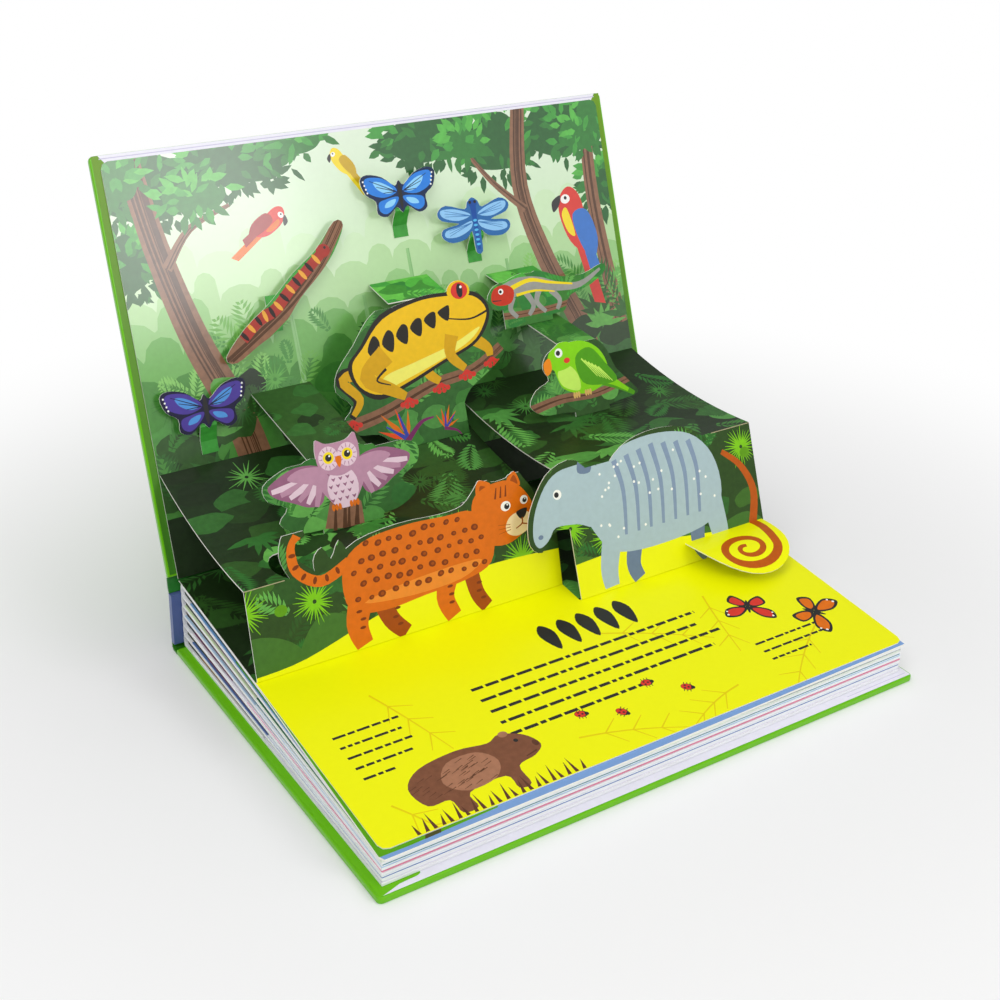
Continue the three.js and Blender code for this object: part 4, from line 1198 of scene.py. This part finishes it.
MOTH_WINGS = [(0, -8), (-3, -5), (-9, -9), (-14, -7), (-14, -1), (-19, 3), (-21, 10), (-17, 12.5),
              (-9, 10.5), (-2.5, 5.5), (0, 8), (2.5, 5.5), (9, 10.5), (17, 12.5), (21, 10), (19, 3),
              (14, -1), (14, -7), (9, -9), (3, -5)]
DRAGONFLY_WINGS = [(-1.8, -14), (-2.4, -4), (-6, -7), (-14, -8), (-19, -5), (-18, -1), (-9, 0.5), (-18, 3),
                   (-20, 7), (-15, 10), (-5, 7), (-3, 10), (0, 12), (3, 10), (5, 7), (15, 10), (20, 7),
                   (18, 3), (9, 0.5), (18, -1), (19, -5), (14, -8), (6, -7), (2.4, -4), (1.8, -14)]
BRANCH_OUTLINE = [(-60, 64), (-50, 74), (-38, 82), (-26, 92), (-14, 100), (-4, 110), (0, 108), (-6, 98),
                  (-14, 90), (-24, 82), (-34, 72), (-46, 66), (-56, 61)]


def moth_art(dark, wing, bright):
    art = [(dark, oval(0, 2, 26, 18))]
    for side in (-1, 1):
        for color, shape in (
                (wing, [(1.5, 3), (8, 9.4), (16.6, 11), (19, 8.6), (17, 3.4), (9, 0.4)]),
                (wing, [(1.5, 0), (9, -0.6), (12.6, -2), (12.4, -6), (8.6, -7.6), (3, -3.6)]),
                (bright, [(3, 3.2), (9, 7.6), (14, 8.6), (12, 4.6), (7, 2)]),
                (bright, [(3, -1), (8, -2), (9.6, -4.6), (5, -4)])):
            art.append((color, smooth(mirrored(shape, side))))
        for k in range(4):
            art.append((WHITE, oval(side * (19.4 - 0.5 * k), 9.4 - 1.9 * k, 0.5, None, 0, 7)))
        for k in range(3):
            tip = (side * (16 - 3.4 * k), 9.4 - 3.4 * k)
            art.append((dark, stroke([(side * 2, 2.6), tip], 0.5, 0.3)))
    art.append((INK_BLACK, oval(0, 0.6, 1.1, 7)))
    return art


def dragonfly_art():
    wing, vein, body = ink("#8fc4ee", 0.08), ink("#3b78b8", 0.1), ink("#1d4fa0", 0.15)
    art = [(ink("#2f6aa8", 0.1), oval(0, 0, 26, 20))]
    for side in (-1, 1):
        for shape in ([(2, 4), (10, 7.6), (18, 8), (17, 4.4), (9, 2)],
                      [(2, 1), (9, -0.8), (16.6, -2), (17, -5), (10, -5.4), (3, -2.6)]):
            art.append((wing, smooth(mirrored(shape, side))))
        for k in range(3):
            art.append((vein, stroke([(side * 2, 3.4), (side * 16, 4.8 + 1.4 * k)], 0.4, 0.2)))
            art.append((vein, stroke([(side * 2, 0), (side * 15, -2 - 1.3 * k)], 0.4, 0.2)))
    art += [(body, stroke([(0, 8), (0, 2), (0, -13)], 3.4, 1.6)), (body, oval(0, 9, 2.4, 1.8)),
            (INK_BLACK, oval(-1.4, 9.8, 0.8)), (INK_BLACK, oval(1.4, 9.8, 0.8))]
    for k in range(6):
        art.append((ink("#57b8e8", 0.08), oval(0, 1 - 2.3 * k, 1.1, 0.6)))
    return art


def larva_branch_art():
    rng = random.Random(96)
    red, black, amber = ink("#a8352a", 0.15), ink("#2a1c18", 0.1), ink("#e8a63c", 0.1)
    art = [(GREENS[0], box_outline(-66, 56, 6, 116))]
    art += trunk([(-60, 62), (-46, 70), (-30, 80), (-14, 94), (0, 112)], 9.6, 5, BARK, BARK_DARK, rng, 6)
    body = [(-52, 70), (-44, 76), (-36, 79), (-28, 86), (-20, 92), (-12, 98)]
    art.append((red, stroke(body, 5.4, 4.2)))
    spine_line = stroke(body, 0.1, 0.1)
    middle = spine_line[:len(spine_line) // 2]
    for k in range(1, len(middle) - 1, 2):
        x, y = middle[k]
        turn_angle = math.atan2(middle[k + 1][1] - middle[k - 1][1], middle[k + 1][0] - middle[k - 1][0])
        art.append((black if k % 4 == 1 else amber, oval(x, y, 0.9, 2.7, turn_angle, 10)))
    art.append((red, oval(-11, 99, 3.2, 2.8)))
    art.append((INK_BLACK, oval(-10, 100.2, 0.6)))
    return art


def card_on_stalk(name, outline, art, stalk_x, stalk_top, stalk_length, offset):
    """A die-cut card held off the back leaf by a curved stalk that is glued at its foot."""
    foot = stalk_top - stalk_length
    bends = [(foot, SEAT), (foot + 5, SEAT), (foot + 8, offset * 0.45), (foot + 11, offset),
             (stalk_top, offset)]
    line = [point2(on_back_leaf(away), height) for height, away in bends]
    half = STALK_WIDTH / 2
    place = along_line(line)
    depth = place.lengths[-1]
    stalk = box_outline(stalk_x - half, 0, stalk_x + half, depth)
    stalk_art = [(GREENS[0], box_outline(stalk_x - 9, -2, stalk_x + 9, depth + 2))]
    piece = printed_sheet(name + "_print", [
        printed_part([outline], art, on_back_leaf(offset + CARD)),
        printed_part([stalk], stalk_art, place, lines=place.lengths[1:-1])])
    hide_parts(name)
    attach(piece, "upper_cover")


def insect_card(name, wings, place, art):
    x, height, grow = place["x"], place["height"], place["grow"]
    card_on_stalk(name, moved(smooth(wings, 3), x, height, grow), placed(art, x, height, grow), x, height,
                  INSECT_STALK, place["offset"])


insect_card("blue_moth", MOTH_WINGS, BLUE_MOTH,
            moth_art(ink("#1b2c50", 0.1), ink("#2f80dc", 0.12), ink("#8fd0f8", 0.06)))
insect_card("dragonfly", DRAGONFLY_WINGS, DRAGONFLY, dragonfly_art())
insect_card("violet_moth", MOTH_WINGS, VIOLET_MOTH,
            moth_art(ink("#1a1838", 0.1), ink("#4b3a94", 0.15), ink("#4f93d8", 0.1)))
card_on_stalk("larva_branch", moved(smooth(BRANCH_OUTLINE, 3), BRANCH["x"], BRANCH["height"]),
              placed(larva_branch_art(), BRANCH["x"], BRANCH["height"]),
              BRANCH["stalk"], BRANCH["top"], BRANCH_STALK, BRANCH["offset"])


# Case: gloss wrap over the boards, its turned-in edges and the pasted endpapers

def spine_wrap(low_z):
    """Slate blue, with the green of the lower cover drawn up over its foot."""
    material = laminated("spine_wrap", "#56689f")
    nodes, links = material.node_tree.nodes, material.node_tree.links
    place = nodes.new("ShaderNodeTexCoord")
    height = nodes.new("ShaderNodeSeparateXYZ")
    above = nodes.new("ShaderNodeMath")
    above.operation = "GREATER_THAN"
    above.inputs[1].default_value = low_z * MM
    mix = nodes.new("ShaderNodeMix")
    mix.data_type = "RGBA"
    mix.inputs["A"].default_value = (*ink("#2f7d12")[:3], 1)
    links.new(place.outputs["Object"], height.inputs["Vector"])
    links.new(height.outputs["Z"], above.inputs[0])
    links.new(above.outputs[0], mix.inputs["Factor"])
    base = nodes["Principled BSDF"].inputs["Base Color"]
    links.new(base.links[0].from_socket, mix.inputs["B"])
    links.new(mix.outputs["Result"], base)
    return material


for node, material in (("lower_cover", WRAP_GREEN), ("upper_cover", WRAP_GREEN),
                       ("spine", spine_wrap(SPINE_FOOT))):
    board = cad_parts[node]
    board.data.materials.clear()
    board.data.materials.append(material)

LINING_INSET = 0.8
TURN_EDGE = COVER_WIDTH / 2 - LINING_INSET
PAPER = 0.15
ENDPAPER = ink("#e9e8f2", 0.05)
LILAC = ink("#c9c4dc", 0.05)
WRAP_INK = ink("#6abd02", 0.06)


def lower_inside():
    fore = -COVER_DEPTH / 2 + LINING_INSET
    hinge = COVER_DEPTH / 2 - 5.5
    art = [(ENDPAPER, box_outline(-130, -90, 130, 90)),
           (WRAP_INK, box_outline(-130, -90, -PAGE_HALF + 8, 90)),
           (ENDPAPER, [(-PAGE_HALF - 2.6, fore - 0.3), (-PAGE_HALF + 6, fore + 2.2),
                       (-PAGE_HALF + 12.5, fore + 2.4), (-PAGE_HALF + 13, fore + 5), (130, fore + 5),
                       (130, fore - 2), (-PAGE_HALF, fore - 2)]),
           (WRAP_INK, smooth([(-PAGE_HALF + 4, fore + 2.6), (-PAGE_HALF + 9, fore + 2.3),
                              (-PAGE_HALF + 13, fore + 2.6), (-PAGE_HALF + 14, fore + 4),
                              (-PAGE_HALF + 12, fore + 7), (-PAGE_HALF + 3, fore + 8)])),
           (LILAC, box_outline(PAGE_HALF - 30, fore + 1.6, PAGE_HALF + 1.6, fore + 1.9))]
    return printed_part([box_outline(-TURN_EDGE, fore, TURN_EDGE, hinge)], art,
                        lambda x, y: Vector((x, y, BOARD + PAPER + 0.02)))


def upper_inside():
    head = COVER_DEPTH - 3.5
    side = (ink("#3f7d22", 0.08), ink("#6f9a24", 0.06), 50, 110)
    art = [(side, box_outline(-130, -5, 130, 180)),
           (ENDPAPER, [(-PAGE_HALF - 1.8, head + 2), (-PAGE_HALF + 2, head - 3), (PAGE_HALF - 2, head - 3),
                       (PAGE_HALF + 1.8, head + 2)]),
           (LILAC, box_outline(-PAGE_HALF, head - 1.5, PAGE_HALF, head - 1.1)),
           (ENDPAPER, box_outline(-PAGE_HALF + 6, 0, PAGE_HALF - 6, 60))]
    return printed_part([box_outline(-TURN_EDGE, 2.6, TURN_EDGE, head)], art,
                        on_back_leaf(-LEAF - SEAT + PAPER + 0.02))


for name, part, body in (("lower_turn_in", lower_inside(), "book_block"),
                         ("upper_turn_in", upper_inside(), "upper_cover")):
    lining = printed_sheet(name, [part], PAPER, rim=WRAP_GREEN)
    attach(lining, body)


# Bent sheets: a strip whose section is a path in Y and Z

def bent_sheet(path, x_span, thickness, steps=18):
    """A grid laid along the path, thickened behind its face."""
    bpy.ops.object.select_all(action="DESELECT")
    bpy.ops.mesh.primitive_grid_add(x_subdivisions=1, y_subdivisions=steps, size=1)
    sheet = bpy.context.active_object
    for vertex in sheet.data.vertices:
        across, along = vertex.co.x + 0.5, vertex.co.y + 0.5
        y, z = path(along)
        vertex.co = Vector((x_span[0] + across * (x_span[1] - x_span[0]), y, z)) * MM
    sheet.location = (0, 0, 0)
    solid = sheet.modifiers.new("thickness", "SOLIDIFY")
    solid.thickness = thickness * MM
    solid.offset = -1
    bpy.ops.object.modifier_apply(modifier=solid.name)
    return sheet


SPINE_TOP = 26.1
JOINT_STRIP = 0.8
BOARD_FOOT = point2(on_back_leaf(-LEAF - SEAT - BOARD), 1.3)


def joint_path(t):
    """Inner face of the wrap from the spine's top to the foot of the upper board."""
    low = Vector((COVER_DEPTH / 2 - JOINT_STRIP, SPINE_TOP))
    high = BOARD_FOOT - Vector((JOINT_STRIP, 0))
    p = low.lerp(high, t)
    return p.x + 0.35 * math.sin(math.pi * t), p.y


joint = bent_sheet(joint_path, (-COVER_WIDTH / 2, COVER_WIDTH / 2), JOINT_STRIP, 12)
joint.name = "upper_joint_wrap"
joint.data.materials.append(WRAP_JOINT)
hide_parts("upper_joint")
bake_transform(joint)


# Page block: thick leaves that fan apart towards the spine, with folded paper between them and dark wedges
# of painted shade in the openings

def edge_paper():
    material, nodes, links, shader = new_material("cut_leaf_edges_and_gap_shade", 0.62)
    fibre = noise(nodes, links, 900, 4, (0.3, 1, 3))
    links.new(shade(nodes, links, fibre, own_ink(nodes).outputs["Color"], None, 0.08),
              shader.inputs["Base Color"])
    add_bump(nodes, links, shader, fibre, 0.25, 0.0002)
    return material


# Paper of the cut leaf edges, also worn by the dark wedges of painted shade between the leaves
LEAF_EDGES_AND_GAP_SHADE = edge_paper()
BLOCK_LOW = BOARD + SEAT
FORE_EDGE = point2(on_page(-LEAF - SEAT), PAGE_DEPTH)
SPINE_EDGE = point2(on_page(-LEAF - SEAT), 0.5)
SPINE_FACE = COVER_DEPTH / 2 - 3.2
CARD_LEAF = 0.95
FOLDED = 0.38


def leaf_low(number, y):
    """Underside of a leaf at a place in Y: close together at the fore edge, apart at the spine."""
    top = FORE_EDGE.y + (SPINE_EDGE.y - FORE_EDGE.y) * (y - FORE_EDGE.x) / (SPINE_EDGE.x - FORE_EDGE.x)
    return BLOCK_LOW + number * (top - BLOCK_LOW - CARD_LEAF) / SPREADS


def leaf_path(number, rise, thickness, fore, spine, sway=0.0):
    def path(t):
        y = fore + (spine - fore) * t
        return y, leaf_low(number, y) + rise + thickness + sway * math.sin(math.pi * min(1, 2 * t)) * t
    return path


def fold_path(number):
    def path(t):
        y = SPINE_FACE - 1.5 + 0.8 * math.sin(math.pi * t)
        return y, leaf_low(number, y) + 0.2 + (leaf_low(number + 1, y) + 0.4 - leaf_low(number, y)) * t
    return path


def inked(sheet, code):
    layer = sheet.data.color_attributes.new("ink", "FLOAT_COLOR", "CORNER")
    color = ink(code)
    for corner in layer.data:
        corner.color = color
    sheet.data.materials.append(LEAF_EDGES_AND_GAP_SHADE)
    return sheet


FOLDED_INKS = (("#f4f4f6", "#dcd6ea", "#eef0f4"), ("#5f7fb8", "#f2f3f5", "#d9e4f2"),
               ("#f3f2f4", "#e88aa8", "#ece6f2"), ("#b9d4ec", "#f2f4f4", "#4f8f9f"),
               ("#dcefc6", "#f4f6f2", "#3f7a58"), ("#6f9fd0", "#6f9fd0", "#4c9c20"))


def gap_shade_wedge(number, fore, code):
    """Painted shade in the opening between two leaves: a dark solid wedge that narrows towards the fore
    edge.
    """
    bpy.ops.mesh.primitive_cube_add(size=2)
    wedge = bpy.context.active_object
    for vertex in wedge.data.vertices:
        side, along, up = vertex.co
        y = SPINE_FACE - 2.5 if along > 0 else fore
        low = leaf_low(number, y) + CARD_LEAF + FOLDED
        high = max(low + 0.05, leaf_low(number + 1, y) - 0.1)
        vertex.co = Vector((side * (PAGE_HALF - 1.1), y, high if up > 0 else low)) * MM
    return inked(wedge, code)


# Dark inks of the painted shade in the openings between the leaves
GAP_SHADE_INKS = ("#2c2a18", "#2a3314", "#1c2038", "#3c2c18", "#232c18", "#16301c")


def page_block():
    rng = random.Random(7)
    sheets = []

    def add(path, span, thickness, code, steps=18):
        sheets.append(inked(bent_sheet(path, span, thickness, steps), code))

    for number in range(SPREADS + 1):
        inset = rng.uniform(0, 0.25)
        fore = FORE_EDGE.x + rng.uniform(0, 0.3)
        span = (-PAGE_HALF + inset, PAGE_HALF - rng.uniform(0, 0.25))
        add(leaf_path(number, 0, CARD_LEAF, fore, SPINE_FACE - 1), span, CARD_LEAF, "#f3f4f6")
    for number, codes in enumerate(FOLDED_INKS):
        # A dark wedge of painted shade fills the opening above each leaf
        sheets.append(gap_shade_wedge(number, rng.uniform(-58, -30), GAP_SHADE_INKS[number]))
        for layer, code in enumerate(codes):
            rise = CARD_LEAF + layer * FOLDED
            fore = FORE_EDGE.x + rng.uniform(0.1, 0.5)
            spine = SPINE_FACE - (rng.uniform(34, 92) if layer else rng.choice((3, 9)))
            span = (-PAGE_HALF + rng.uniform(0.1, 0.7), PAGE_HALF - rng.uniform(0.1, 0.7))
            add(leaf_path(number, rise, FOLDED, fore, spine, rng.uniform(0, 0.9)), span, FOLDED, code)
        for _ in range(2):
            start = rng.uniform(20, 60)
            rise = CARD_LEAF + 1.1 + rng.uniform(0, 0.7)
            code = rng.choice(("#6a4a30", "#c98a2a", "#3f6fb0", "#3a7a30", "#7a3a60"))
            fore, spine = SPINE_FACE - start - rng.uniform(20, 34), SPINE_FACE - start * 0.5
            span = (-PAGE_HALF + rng.uniform(0.3, 1.2), -PAGE_HALF + 60)
            add(leaf_path(number, rise, 0.25, fore, spine, 0.3), span, 0.25, code)
        add(fold_path(number), (-PAGE_HALF + 0.2, PAGE_HALF - 0.2), 0.5, "#eceef2", 8)
    bpy.ops.object.select_all(action="DESELECT")
    for sheet in sheets:
        sheet.select_set(True)
    bpy.context.view_layer.objects.active = sheets[0]
    bpy.ops.object.join()
    sheets[0].name = "page_block_leaves_and_gap_shade"
    return sheets[0]


def next_leaf_art():
    """Blue along the fore edge, with a green corner."""
    low, left = PAGE_DEPTH - 2, -PAGE_HALF - 4
    return [(ink("#7a9fd2", 0.08), box_outline(left, 20, PAGE_HALF + 4, 172)),
            (ink("#57a005", 0.1), [(left, 20), (-PAGE_HALF + 12, 20), (-PAGE_HALF + 46, low),
                                   (-PAGE_HALF + 43, PAGE_DEPTH + 0.7), (-PAGE_HALF + 10, PAGE_DEPTH + 1.7),
                                   (left, PAGE_DEPTH + 1.5)]),
            (ink("#4a4a20", 0.1), [(-PAGE_HALF + 17, low), (-PAGE_HALF + 23, low),
                                   (-PAGE_HALF + 21, PAGE_DEPTH + 1.5),
                                   (-PAGE_HALF + 15, PAGE_DEPTH + 1.6)])]


NEXT_LEAF = [(-PAGE_HALF + 0.5, 50), (-PAGE_HALF - 1.7, PAGE_DEPTH + 1.2),
             (-PAGE_HALF - 0.6, PAGE_DEPTH + 3.2), (-20, PAGE_DEPTH + 3),
             (PAGE_HALF - 0.4, PAGE_DEPTH + 1.2), (PAGE_HALF - 0.4, 50)]
next_print = printed_part([NEXT_LEAF], next_leaf_art(), on_page(-LEAF - 0.06), face_down=True)
next_leaf = printed_sheet("next_page_print", [next_print], 0.9)
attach(next_leaf, "book_block")

block = page_block()
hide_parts("page_block")
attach(block, "book_block")


# Floor

FADE_NEAR = 0.13
FADE_FAR = 0.42
bpy.ops.object.select_all(action="DESELECT")
bpy.ops.mesh.primitive_plane_add(size=8, location=(0, 0, 0))
floor = bpy.context.active_object
floor.name = "floor"
floor_material, floor_nodes, floor_links, floor_shader = new_material("floor_paper", 0.9, (0.9, 0.9, 0.9))
floor.data.materials.append(floor_material)


def fade_to_white(nodes, links, shader, near, far):
    """Away from the book the floor reads as a white studio sweep."""
    place = nodes.new("ShaderNodeTexCoord")
    reach = nodes.new("ShaderNodeVectorMath")
    reach.operation = "LENGTH"
    links.new(place.outputs["Object"], reach.inputs[0])
    fade = nodes.new("ShaderNodeMapRange")
    fade.interpolation_type = "SMOOTHSTEP"
    fade.inputs["From Min"].default_value = near
    fade.inputs["From Max"].default_value = far
    links.new(reach.outputs["Value"], fade.inputs["Value"])
    rays = nodes.new("ShaderNodeLightPath")
    seen = nodes.new("ShaderNodeMath")
    seen.operation = "MAXIMUM"
    links.new(rays.outputs["Is Camera Ray"], seen.inputs[0])
    links.new(rays.outputs["Is Glossy Ray"], seen.inputs[1])
    factor = nodes.new("ShaderNodeMath")
    factor.operation = "MULTIPLY"
    links.new(seen.outputs[0], factor.inputs[0])
    links.new(fade.outputs["Result"], factor.inputs[1])
    glow = nodes.new("ShaderNodeEmission")
    mix = nodes.new("ShaderNodeMixShader")
    links.new(factor.outputs[0], mix.inputs["Fac"])
    links.new(shader.outputs["BSDF"], mix.inputs[1])
    links.new(glow.outputs["Emission"], mix.inputs[2])
    links.new(mix.outputs["Shader"], nodes["Material Output"].inputs["Surface"])


fade_to_white(floor_nodes, floor_links, floor_shader, FADE_NEAR, FADE_FAR)
